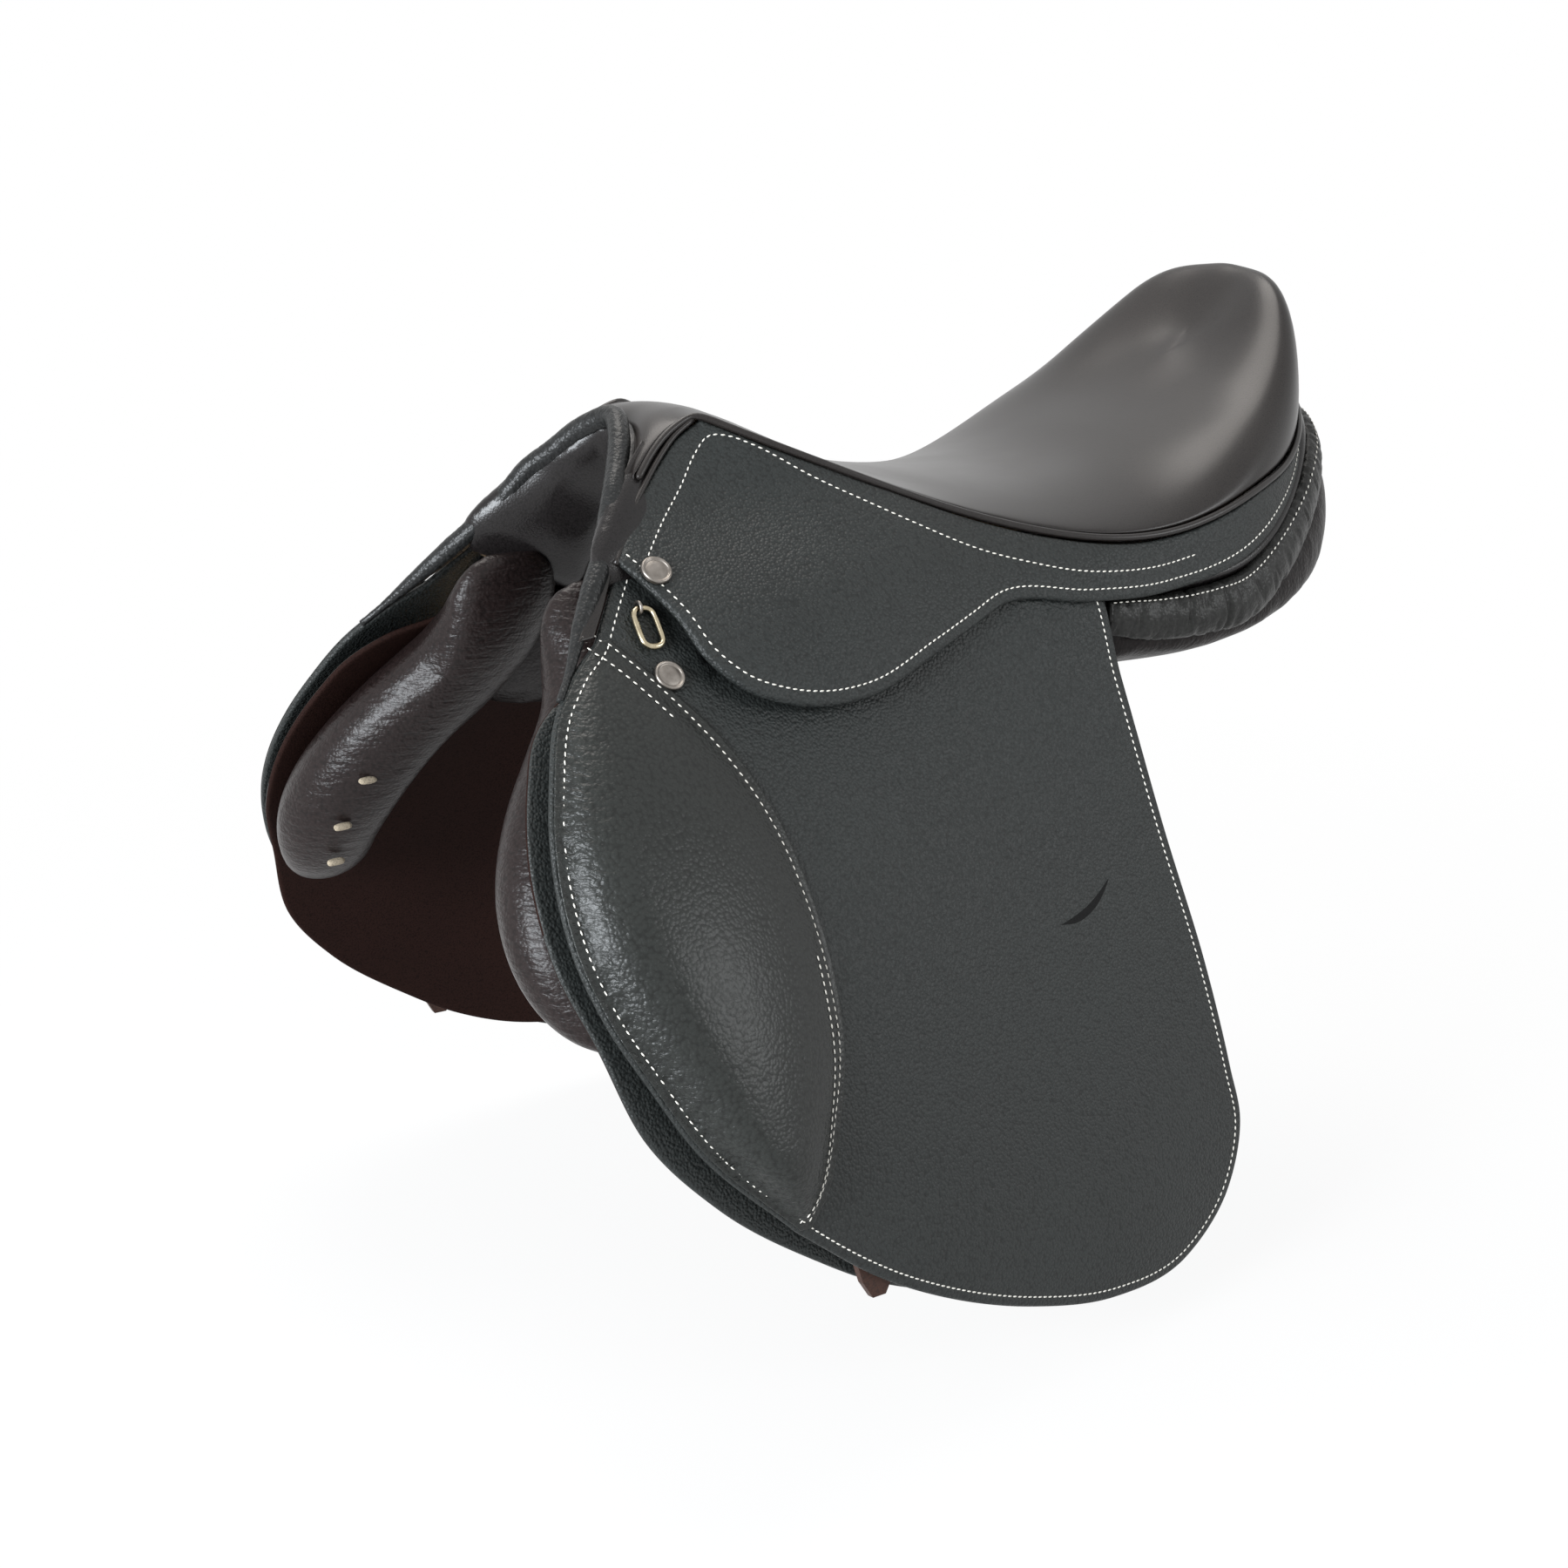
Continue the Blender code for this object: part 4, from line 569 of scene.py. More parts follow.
# Sweat flaps: the hides between the girth straps and the horse, nailed to the
# tree and cut a little further forward than the flap. They are grained black
# towards the straps and smooth dark brown towards the horse.
SWEAT_FLAP_EDGE = (
    (-214, -66), (-240, -74), (-259, -88), (-269, -105), (-281, -139), (-282, -178), (-271, -214), (-257, -257),
    (-225, -296), (-175, -334), (-140, -355), (-95, -372), (-45, -378), (10, -370), (50, -345), (66, -300),
    (64, -230), (56, -160), (50, -110), (46, -76),
)
SWEAT_FLAP_TOP = ((46, -76), (0, -56), (-60, -48), (-130, -48), (-190, -54), (-214, -66))
SWEAT_FLAP_DEPTH = 0.0142
SWEAT_FLAP_THICK = 0.0034
brown_hide = leather(
    "brown_hide", (0.0150, 0.0066, 0.0052), 0.75, pebble=1100, depth=0.00008, tint=1.5, shine=0.06,
)
sweat_shape = pattern_edge(SWEAT_FLAP_EDGE, SWEAT_FLAP_TOP)
for label, side in SIDES:
    sweat = laid(
        "sweat_flap_hide_" + label, sweat_shape, at_depth(SWEAT_FLAP_DEPTH), side, SWEAT_FLAP_THICK,
        round_edge=0.0017,
    )
    dressed(sweat, grained, "saddle")
    sweat.data.materials.append(brown_hide)
    for face in sweat.data.polygons:
        face.material_index = 0 if face.normal.y * side > 0.2 else 1
    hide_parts("sweat_flap_" + label)


# Knee rolls: foam blocks under a soft full-grain cover that is sewn to the
# flap all round, so the cover is drawn flat at its margins and crinkles where
# it turns down to the stitches.
KNEE_FRONT = (
    (-221, -62), (-239, -78), (-256, -104), (-268, -130), (-272, -154), (-272, -177), (-265, -204), (-251, -232),
    (-235, -260), (-192, -307),
)
KNEE_REAR = (
    (-214, -60), (-199, -76), (-177, -104), (-163, -134), (-155, -176), (-154, -210), (-157, -236), (-167, -268),
    (-180, -297), (-190, -309),
)
COVER_FRONT = (
    (-217, -57.5), (-235, -70), (-252, -87), (-265, -111), (-273, -131), (-278, -154.5), (-278, -177),
    (-271, -204.5), (-257, -233.5), (-240, -263), (-193, -311),
)
COVER_REAR = (
    (-187, -311.5), (-176, -299), (-162.5, -269), (-152.5, -237), (-149.5, -210), (-150.5, -175),
    (-158.5, -132), (-173, -101), (-196, -73), (-211, -57),
)
KNEE_RIDGE = 0.26
KNEE_HEIGHT = 0.0185
COVER_OUTER = -0.0016
COVER_THICK = 0.0013
knee_front = pattern_run(KNEE_FRONT)
knee_rear = pattern_run(KNEE_REAR)
cover_shape = np.concatenate((pattern_run(COVER_FRONT), pattern_run(COVER_REAR)))


def knee_shares(t, z):
    """How far back from the front row, and how far up from the foot, a spot of the cover lies."""
    low = np.interp(-z, -knee_front[:, 1], knee_front[:, 0])
    high = np.interp(-z, -knee_rear[:, 1], knee_rear[:, 0])
    across = np.clip((t - low) / np.maximum(high - low, 0.001), 0, 1)
    along = np.clip((z - knee_front[-1][1]) / (knee_front[0][1] - knee_front[-1][1]), 0, 1)
    return across, along


def knee_crown(t, z):
    """Height of the padding over the flap: steep at the front and the foot, a long slope to the rear."""
    across, along = knee_shares(t, z)
    front = np.sqrt(np.clip(1 - (1 - across / KNEE_RIDGE) ** 2, 0, 1)) ** 1.15
    rear = np.cos(np.clip((across - KNEE_RIDGE) / (1 - KNEE_RIDGE), 0, 1) * math.pi / 2) ** 0.75
    foot, top = np.clip(along / 0.16, 0, 1), np.clip((1 - along) / 0.55, 0, 1)
    taper = np.sin(foot * math.pi / 2) ** 0.8 * np.sin(top * math.pi / 2) ** 0.9
    return KNEE_HEIGHT * np.where(across < KNEE_RIDGE, front, rear) * taper


def knee_outer(t, z):
    """Depth of the cover's grain side."""
    return COVER_OUTER - knee_crown(t, z)


def knee_pull(t, z):
    """1 where the cover is drawn down to its stitches at the front and the foot."""
    across, along = knee_shares(t, z)
    front = np.clip(1 - across / 0.34, 0, 1)
    foot = 0.8 * np.clip(1 - along / 0.3, 0, 1) * np.clip(1.3 - across, 0, 1)
    return 0.06 + 0.94 * np.maximum(front, foot)


soft_hide = leather(
    "soft_hide", (0.0165, 0.0180, 0.0165), 0.34, pebble=520, depth=0.00030, crease=(130, 130, 360),
    crease_depth=0.0014, tint=1.3, coat=0.06, pulled="pull",
)
for label, side in SIDES:
    knee = laid(
        "knee_roll_cover_" + label, cover_shape, knee_outer, side, COVER_THICK, round_edge=0.0012, cell=0.0030,
        pull=knee_pull,
    )
    dressed(knee, soft_hide)
    bends_with_flap(knee, side)
    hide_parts("knee_roll_" + label)


# Panels: two long bags of supple leather that rest on the horse's back, one on
# each side of the channel, stuffed with flock. The bag is remeshed evenly and
# drawn out by pressure.
STUFFING = {
    "use_pressure": True, "uniform_pressure_force": 4, "mass": 0.4, "quality": 4,
    "tension_stiffness": 18, "compression_stiffness": 18, "bending_stiffness": 0.6,
}
STUFFING_STEPS = 16


def plumped(piece, voxel, start, cap):
    """Remeshes the bag evenly, fills it under pressure and takes it no further than its cap."""
    applied(piece, "REMESH", mode="VOXEL", voxel_size=voxel)
    applied(piece, "SMOOTH", factor=0.5, iterations=6)
    if start:
        applied(piece, "DISPLACE", strength=-start, mid_level=0)
    rest = np.array([vertex.co for vertex in piece.data.vertices])
    cloth = piece.modifiers.new("stuffing", "CLOTH")
    for key, value in STUFFING.items():
        setattr(cloth.settings, key, value)
    cloth.settings.effector_weights.gravity = 0
    cloth.point_cache.frame_end = STUFFING_STEPS
    for step in range(1, STUFFING_STEPS + 1):
        bpy.context.scene.frame_set(step)
    shaped = piece.evaluated_get(bpy.context.evaluated_depsgraph_get())
    moved = np.array([vertex.co for vertex in shaped.data.vertices]) - rest
    piece.modifiers.remove(cloth)
    bpy.context.scene.frame_set(1)
    length = np.linalg.norm(moved, axis=1, keepdims=True)
    moved *= np.minimum(1, cap / np.maximum(length, 1e-9))
    piece.data.vertices.foreach_set("co", (rest + moved).ravel())
    piece.data.update()
    applied(piece, "SUBSURF", levels=1, render_levels=1)


def stuffed_pair(bag, name, hide):
    """Makes the right side's bag from the left one, and puts both in place of their nodes."""
    twin = bag.copy()
    twin.data = bag.data.copy()
    named(twin, name + "_bag_right")
    bpy.context.scene.collection.objects.link(twin)
    twin.data.transform(Matrix.Scale(-1, 4, (0, 1, 0)))
    twin.data.flip_normals()
    for piece, label in ((bag, "left"), (twin, "right")):
        dressed(piece, hide, "saddle")
        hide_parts(name + "_" + label)


panel_hide = leather(
    "panel_hide", (0.0095, 0.0072, 0.0070), 0.38, pebble=520, depth=0.00026, crease=(120, 120, 60),
    crease_depth=0.0012, tint=1.4, shine=0.12, coat=0.05,
)
panel = copied("panel_left", "panel_bag_left")
plumped(panel, 0.005, 0.0015, 0.0028)
stuffed_pair(panel, "panel", panel_hide)


# Panel rolls: the stuffed rolls down the front of the panels, of the same
# leather. Each row gives a station and a level, then half the width and half
# the thickness there, and the outer side lies against the sweat flap.
PANEL_ROLL = (
    (-190, -22, 17, 3), (-190, -27, 28, 9), (-191, -36, 33, 14), (-195, -52, 34, 19), (-206, -74, 33, 22),
    (-226, -97, 32, 24), (-243, -120, 32, 26), (-254, -143, 32, 27), (-258, -164, 31, 26), (-255, -187, 28, 23),
    (-250, -207, 20, 14), (-247, -220, 7, 5),
)
ROLL_DEPTH = 0.0184


def swept(name, path, outs, radii, sides=16):
    """A stuffed tube along a path: a cylinder cut into rings, each ring set round its place.

    Also gives how far along the path and which way round each point lies.
    """
    path = np.asarray(path, float)
    steps = np.gradient(path, axis=0)
    count = len(path)
    bpy.ops.object.select_all(action="DESELECT")
    bpy.ops.mesh.primitive_cylinder_add(vertices=sides, radius=1, depth=count - 1, location=(0, 0, 0))
    piece = named(bpy.context.object, name)
    bpy.ops.object.mode_set(mode="EDIT")
    for ring in range(1, count - 1):
        bpy.ops.mesh.select_all(action="SELECT")
        bpy.ops.mesh.bisect(plane_co=(0, 0, ring - (count - 1) / 2), plane_no=(0, 0, 1))
    bpy.ops.object.mode_set(mode="OBJECT")
    run = lengths(path)
    runs = []
    for vertex in piece.data.vertices:
        ring = int(round(vertex.co.z + (count - 1) / 2))
        turn = math.atan2(vertex.co.y, vertex.co.x)
        step = Vector(steps[ring]).normalized()
        across = Vector(outs[ring]).cross(step).normalized()
        proud = step.cross(across).normalized()
        wide, high = (radii[ring],) * 2 if np.isscalar(radii[ring]) else radii[ring]
        vertex.co = Vector(path[ring]) + across * wide * math.cos(turn) + proud * high * math.sin(turn)
        runs.append((run[ring], turn))
    faces_out()
    return piece, runs


roll_hide = leather(
    "roll_hide", (0.0115, 0.0074, 0.0070), 0.34, pebble=520, depth=0.00024, crease=(70, 70, 300),
    crease_depth=0.0011, tint=1.4, shine=0.20, coat=0.06,
)
rows = pattern_run(PANEL_ROLL, 0.007)
centres = [on_side(t, z, ROLL_DEPTH + high, -1) for t, z, wide, high in rows]
outs = [on_side(t, z, 0, -1) - on_side(t, z, 0.01, -1) for t, z, wide, high in rows]
roll = swept("panel_roll_bag_left", centres, outs, [(wide, high) for t, z, wide, high in rows], sides=20)[0]
plumped(roll, 0.004, 0.0010, 0.0022)
stuffed_pair(roll, "panel_roll", roll_hide)


# Arch pad: a flock cushion of smoother leather that lines the arch under the
# pommel and runs down inside both panel rolls. Its front and rear edges are
# given from the middle to the right side.
PAD_FRONT = (
    (-155, 0, 30), (-162, 18, 24), (-171, 30, 12), (-181, 43, 1), (-188, 50, -8), (-199, 60, -23),
    (-209, 69.5, -38), (-213, 74, -50),
)
PAD_REAR = (
    (-106, 0, 20), (-108, 12, 14), (-112, 22, 5), (-118, 30, -6), (-124, 35, -16), (-130, 39, -27),
    (-135, 43, -40), (-141, 48, -51),
)
PAD_DEPTH = (8, 9, 10, 11, 12, 13, 12, 4)


def both_sides(points):
    """A line from the middle to the right side, carried over to the left side as well."""
    points = [tuple(point) for point in points]
    return [(x, -y, z) for x, y, z in points[:0:-1]] + points


fronts = pattern_run(both_sides(PAD_FRONT), 0.006)
share = np.linspace(0, 1, len(fronts))
chord = lengths(np.array(both_sides(PAD_FRONT)))
chord /= chord[-1]
pad_rear = np.array(both_sides(PAD_REAR))
rears = np.column_stack([np.interp(share, chord, pad_rear[:, axis] * MM) for axis in range(3)])
for turn in range(12):
    rears[1:-1] += (rears[:-2] - 2 * rears[1:-1] + rears[2:]) * 0.3
depths = np.interp(share, chord, np.array(PAD_DEPTH[:0:-1] + PAD_DEPTH) * MM)
middles = (fronts + rears) / 2
outs = np.cross(np.gradient(middles, axis=0), fronts - middles)
widths = np.linalg.norm(fronts - rears, axis=1) / 2
arch_pad = swept("arch_pad_bag", middles, outs, list(zip(widths, depths)), sides=20)[0]
plumped(arch_pad, 0.0035, 0.0, 0.0015)
pad_hide = leather(
    "pad_hide", (0.0100, 0.0085, 0.0085), 0.27, pebble=900, depth=0.00008, tint=1.3, coat=0.1,
)
dressed(arch_pad, pad_hide, "saddle")
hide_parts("arch_pad")


# Arch roll: a cord bound in soft black leather round the front of the arch,
# thinner where it runs out under the flaps. The binding is gathered, so fine
# creases cross it.
ARCH = (
    (-154, 0, 35.5), (-161, 18, 28), (-170, 31, 16), (-180, 43, 4),
    (-185.5, 48.5, -5.5), (-197, 60.5, -23), (-210, 71, -38), (-221, 80, -50),
)
ARCH_FOOT = ((-235, -66), (-246, -78))
ARCH_RADII = ((0, 0.070, 0.096), (0.0058, 0.0056, 0.0020))


def drawn_in(piece, runs, pitch, deep):
    """Creases across a soft cover: each point sinks along its normal by a noise along the run."""
    normals = [vertex.normal.copy() for vertex in piece.data.vertices]
    for vertex, normal, (run, turn) in zip(piece.data.vertices, normals, runs):
        fold = noise.noise(Vector((run / pitch, turn * 0.9 + run * 40, 0)))
        fold += 0.5 * noise.noise(Vector((run / pitch * 2.1, turn * 1.4, 5)))
        vertex.co -= normal * deep * max(0, fold) ** 0.8


half = [tuple(np.array(spot) * MM) for spot in ARCH]
half += [tuple(on_side(t * MM, z * MM, 0.0015, 1)) for t, z in ARCH_FOOT]
arch_line = smooth_run(both_sides(half), 0.0012)
width = np.interp(np.abs(arch_line[:, 1]), *ARCH_RADII)
outs = [(0, y, z + 0.06) for x, y, z in arch_line]
arch_roll, runs = swept("arch_roll_leather", arch_line, outs, width, sides=16)
drawn_in(arch_roll, runs, 0.0030, 0.0003)
soft_black = leather("soft_black", (0.0125, 0.0130, 0.0130), 0.36, pebble=600, depth=0.00030, tint=1.3)
dressed(arch_roll, soft_black, "saddle")
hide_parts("arch_roll")


# Welt piping and cantle roll: cords bound in thin leather, the one sewn into
# the seam round the seat, the other into the seam under the cantle.
def softened(source, name, material, levels=2, swell=0.0):
    """A smooth copy of a node, a little fuller where asked, in the node's place."""
    piece = copied(source, name)
    applied(piece, "SUBSURF", levels=levels, render_levels=levels)
    if swell:
        applied(piece, "DISPLACE", strength=swell, mid_level=0)
    dressed(piece, material, "saddle")
    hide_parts(source)


softened("welt_piping", "welt_piping_leather", seat_hide, swell=0.0009)
softened("cantle_roll", "cantle_roll_leather", pad_hide, swell=0.0004)


# Gusset of the panels: a stuffed strip gathered into the seam below the skirt
# and the cantle, so that short creases run across it from its stitches. Its
# rows give a station, then the depth, half the height and half the thickness.
TRIM_LEVEL = (
    (88, -57), (112, -57.5), (150, -55), (172, -51.5), (209, -33), (235, -15.5), (262, 5), (300, 24), (355, 34),
)
GUSSET = (
    (0.077, 6.5, 9.5, 3.5), (0.100, 5.0, 12, 6.0), (0.130, 2.5, 13, 7.5), (0.160, 2.0, 14, 8.0),
    (0.360, 2.0, 14, 8.0),
)
GUSSET_END = 0.3583
REAR_START = 0.150
REAR_BLEND = 0.140


def gusset_point(t, below, depth, out):
    """A point under the trim: on the flank at a depth, and round the rear at a distance out."""
    z = line(TRIM_LEVEL, t) - below
    x, y, nx, ny = seat_edge(t)
    u = np.clip((t - REAR_START) / REAR_BLEND, 0, 1)
    blend = u * u * (3 - 2 * u)
    rear = np.array([x + nx * out, y + ny * out, z])
    flank = on_side(t, z, depth, 1)
    return flank + (rear - flank) * blend


def gusset_outs(stations, tilt):
    """The way out of the saddle at each station, on both sides."""
    return both_sides([(*(float(n) for n in seat_edge(t)[2:]), tilt) for t in stations])


stations = np.arange(GUSSET[0][0], GUSSET_END, 0.0012)[::-1]
table = np.array(GUSSET)
sizes = np.column_stack([np.interp(stations, table[:, 0], table[:, column]) * MM for column in (1, 2, 3)])
half = [gusset_point(t, 0.0030 + wide, depth, 0.0095) for t, (depth, wide, high) in zip(stations, sizes)]
half[0][1] = 0
gusset_line = np.array(both_sides(half))
gusset_size = np.concatenate((sizes[:0:-1], sizes))[:, 1:]
gusset_out = gusset_outs(stations, 0.12)
gusset, runs = swept("gusset_leather", gusset_line, gusset_out, gusset_size, sides=28)
drawn_in(gusset, runs, 0.0042, 0.0022)
gusset_hide = leather("gusset_hide", (0.0125, 0.0125, 0.0115), 0.38, pebble=560, depth=0.00024, tint=1.4)
dressed(gusset, gusset_hide, "saddle")
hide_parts("cantle_facing")


# Cantle band and channel lining: the band is a flat strip of soft black
# leather that closes the seam between the gusset and the cantle, and the
# lining is brown leather glued up inside the channel between the panels.
BAND_SIZE = (0.0085, 0.0025)
rear_stations = stations[stations > REAR_START]
half = [gusset_point(t, -0.0075, 0.0060, -0.0035) for t in rear_stations]
half[0][1] = 0
band_outs = gusset_outs(rear_stations, 0.0)
band = swept("cantle_band", both_sides(half), band_outs, [BAND_SIZE] * len(band_outs), sides=12)[0]
dressed(band, soft_black, "saddle")
softened("channel_lining", "channel_lining_leather", brown_hide)


# Sewing: waxed cream thread, about seven stitches to the inch, laid in one row
# inside each cut edge, in a second row that follows the skirt's top, round the
# knee roll's cover, and along the top of the gusset.
STITCH_SPACING = 0.0036
STITCH_LENGTH = 0.0027
STITCH_HALF_WIDTH = 0.00044
STITCH_SLANT = 0.12
SEAM_TURN = math.radians(52)
SKIRT_ROW = (
    (-184, -33), (-163, -13), (-146, 2.4), (-130, 20), (-121.6, 26.5), (-114, 26), (-104, 22), (-78, 5.6),
    (-54, -7.6), (-30, -20.4), (-4, -32), (27, -41), (56, -46.7), (82, -48), (113, -46.4), (133, -43),
)
KNEE_ROW = (
    (-221, -50.5), (-213, -59), (-200, -73), (-178, -103), (-163, -134), (-155, -176), (-154, -210),
    (-156, -236), (-167, -268), (-180, -297), (-191, -311),
)
KNEE_TOP_ROW = ((-225, -59), (-216, -68), (-202, -85), (-196, -93))
KNEE_FOOT_ROW = ((-159.5, -196), (-160, -214), (-162, -237), (-173, -269), (-186, -298), (-194, -308))
FLAP_TOP_ROW = ((-192, -29), (-205, -43))
SKIRT_ROW_END = 0.247


def side_frame(t, z, depth, side):
    """Place, forward, upward and outward directions on a layer of the side."""
    step = 0.002
    spot = Vector(on_side(t, z, depth(t, z), side))
    ahead, behind = (Vector(on_side(at, z, depth(at, z), side)) for at in (t + step, t - step))
    above, below = (Vector(on_side(t, at, depth(t, at), side)) for at in (z + step, z - step))
    along, rise = ahead - behind, above - below
    outward = (along.cross(rise) * -side).normalized()
    return spot, along.normalized(), rise.normalized(), outward


def inside_edge(runs, distance):
    """Runs of a pattern's edge, moved in from it by a distance."""
    points = np.concatenate([np.array(run) * MM for run in runs])
    keep = np.concatenate(([True], np.linalg.norm(np.diff(points, axis=0), axis=1) > 1e-6))
    run = smooth_run(points[keep], 0.002)
    step = np.gradient(run, axis=0)
    normal = np.column_stack((-step[:, 1], step[:, 0])) / np.linalg.norm(step, axis=1)[:, None]
    return smooth_run(run + normal * distance, STITCH_SPACING)


thread, tree, yarn = new_material("cream_thread")
plies = shader_node(tree, "TexNoise", {"Scale": 900}).outputs["Fac"]
tone = mixed_tone(tree, plies, (0.60, 0.56, 0.49), (0.90, 0.87, 0.80))
set_inputs(yarn, {"Roughness": 0.6, "Base Color": tone})

bpy.ops.mesh.primitive_uv_sphere_add(segments=6, ring_count=5, radius=1, location=(0, 0, 0))
stitch = bpy.context.object
stitch_points = np.array([vertex.co for vertex in stitch.data.vertices])
stitch_points *= (STITCH_LENGTH / 2, STITCH_HALF_WIDTH, STITCH_HALF_WIDTH * 0.8)
stitch_faces = [tuple(face.vertices) for face in stitch.data.polygons]
bpy.data.objects.remove(stitch)


def stitches(name, places):
    """One mesh of stitches, each given by its middle, its run and the way out of the leather."""
    points = []
    faces = []
    for spot, run, outward in places:
        run = (run - outward * run.dot(outward)).normalized()
        run = (run + outward.cross(run) * STITCH_SLANT).normalized()
        across = outward.cross(run)
        first = len(points)
        for p in stitch_points:
            points.append(spot + run * p[0] + across * p[1] + outward * (p[2] + STITCH_HALF_WIDTH * 0.25))
        faces += [tuple(first + i for i in face) for face in stitch_faces]
    mesh = bpy.data.meshes.new(name)
    mesh.from_pydata(points, [], faces)
    piece = bpy.data.objects.new(name, mesh)
    bpy.context.scene.collection.objects.link(piece)
    return dressed(piece, thread)


def sewn(name, rows, depth, side):
    """Rows of stitches on a layer of the side, each row a run of stations and levels."""
    places = []
    for row in rows:
        for a, b in zip(row[:-1], row[1:]):
            t, z = (a + b) / 2
            spot, along, rise, outward = side_frame(t, z, depth, side)
            run = Vector(on_side(*b, depth(*b), side) - on_side(*a, depth(*a), side))
            places.append((spot, run, outward))
    return stitches(name, places)


def flap_top(t, z):
    """Grain side of the flap, or of the knee roll's cover where that lies over it."""
    high = np.interp(-z, -knee_rear[:, 1], knee_rear[:, 0]) + 0.0036
    covered = (z > -0.309) & (z < -0.058) & (t < high)
    return np.where(covered, -0.0020 - knee_crown(t, z), 0.0)


skirt_edge_row = inside_edge([SKIRT_EDGE], -0.0055)
skirt_rows = [pattern_run(SKIRT_ROW, STITCH_SPACING), skirt_edge_row[skirt_edge_row[:, 0] < SKIRT_ROW_END]]
flap_rows = [inside_edge([FLAP_TOP_ROW, FLAP_FRONT, FLAP_HEM_AND_REAR], 0.0055)]
flap_rows += [pattern_run(row, STITCH_SPACING) for row in (KNEE_ROW, KNEE_TOP_ROW, KNEE_FOOT_ROW)]
for label, side in SIDES:
    sewing = sewn("skirt_stitches_" + label, skirt_rows, skirt_outer, side)
    bends_with_skirt(sewing, side)
    sewing = sewn("flap_stitches_" + label, flap_rows, flap_top, side)
    bends_with_flap(sewing, side)
gusset_places = []
for i in range(2, len(gusset_line) - 3, 3):
    run = Vector(gusset_line[i + 1] - gusset_line[i - 1]).normalized()
    out = Vector(gusset_out[i]).normalized()
    rise = out.cross(run)
    rise = rise if rise.z > 0 else -rise
    wide, high = gusset_size[i]
    spot = Vector(gusset_line[i]) + rise * wide * math.sin(SEAM_TURN) + out * high * math.cos(SEAM_TURN)
    outward = rise * math.sin(SEAM_TURN) * high + out * math.cos(SEAM_TURN) * wide
    gusset_places.append((spot, run, outward.normalized()))
row = stitches("gusset_stitches", gusset_places)
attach(row, "saddle")


# Metal on the skirt's front: two domed studs with a rolled rim on each side,
# and the ring for a breastplate in its staple; the studs and the staple are in
# worn antique nickel, the ring in old brass. The panel ties, short cords of
# pale hide, go through the panel rolls.
STUD_PROFILE = (
    (1.2, 2.15), (2.6, 2.2), (4.0, 2.1), (5.2, 1.85), (5.8, 1.7), (6.1, 2.0), (6.6, 2.55), (7.1, 2.5),
    (7.6, 2.0), (7.8, 1.3), (7.8, 0.1),
)
STUDS = (("upper", -0.1786, -0.0285, skirt_outer), ("lower", -0.1875, -0.0746, at_depth(0)))
DEE_HOOK = (-0.1905, 0.0822, -0.0447)
DEE_GROWTH = 1.07
DEE_SHIFT = Vector((0.0016, 0, 0))


def metal(name, colour, dark, roughness):
    """Metal mottled by wear, between a bright tone and a dark one."""
    material, tree, shader = new_material(name)
    place = shader_node(tree, "TexCoord").outputs["Object"]
    wear = shader_node(tree, "TexNoise", {"Vector": place, "Scale": 260, "Detail": 5}).outputs["Fac"]
    spread = {"Value": wear, "To Min": roughness - 0.08, "To Max": roughness + 0.12}
    set_inputs(shader, {
        "Metallic": 1, "Base Color": mixed_tone(tree, wear, dark, colour),
        "Roughness": shader_node(tree, "MapRange", spread).outputs[0],
    })
    return material


nickel = metal("antique_nickel", (0.34, 0.315, 0.29), (0.12, 0.105, 0.09), 0.34)
brass = metal("old_brass", (0.62, 0.55, 0.40), (0.26, 0.21, 0.13), 0.22)
tie_cord = leather("tie_cord", (0.36, 0.30, 0.22), 0.8, pebble=1500, depth=0.00010, tint=1.2)
stud_reach, stud_rise = np.array(STUD_PROFILE).T
for label, side in SIDES:
    for name, t, z, layer in STUDS:
        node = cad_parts[f"stud_{name}_{label}"]
        spots = np.array([vertex.co for vertex in node.data.vertices])
        base = Vector(spots.mean(axis=0))
        spot, along, rise, outward = side_frame(t, z, layer, side)
        low = min((Vector(p) - base).dot(outward) for p in spots)
        bpy.ops.object.select_all(action="DESELECT")
        bpy.ops.mesh.primitive_circle_add(vertices=40, radius=stud_reach[-1] * MM, fill_type="NGON")
        stud = named(bpy.context.object, f"stud_{name}_cap_{label}")
        bpy.ops.object.mode_set(mode="EDIT")
        for inner, outer in zip(stud_reach[-2::-1], stud_reach[:0:-1]):
            bpy.ops.mesh.inset(thickness=max(outer - inner, 0.01) * MM)
        bpy.ops.object.mode_set(mode="OBJECT")
        for vertex in stud.data.vertices:
            r = vertex.co.length / MM
            outermost = r > stud_reach[-1] - 0.005
            top = stud_rise[-1] if outermost else np.interp(r, stud_reach[:-1], stud_rise[:-1])
            vertex.co = base + along * vertex.co.x + rise * vertex.co.y + outward * (low + top * MM)
        faces_out()
        dressed(stud, nickel, "saddle")
        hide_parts(f"stud_{name}_{label}")
    ring = copied("dee_" + label, "dee_ring_" + label)
    hook = Vector((DEE_HOOK[0], side * DEE_HOOK[1], DEE_HOOK[2]))
    for vertex in ring.data.vertices:
        vertex.co = hook + (vertex.co - hook) * DEE_GROWTH + DEE_SHIFT
    applied(ring, "SUBSURF", levels=2, render_levels=2)
    dressed(ring, brass, "dee_" + label)
    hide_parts("dee_" + label)
    softened("dee_staple_" + label, "dee_staple_wire_" + label, nickel, levels=1)
    for number in (1, 2, 3):
        source = f"panel_tie_{number}_{label}"
        softened(source, f"panel_tie_thread_{number}_{label}", tie_cord, swell=0.0010)
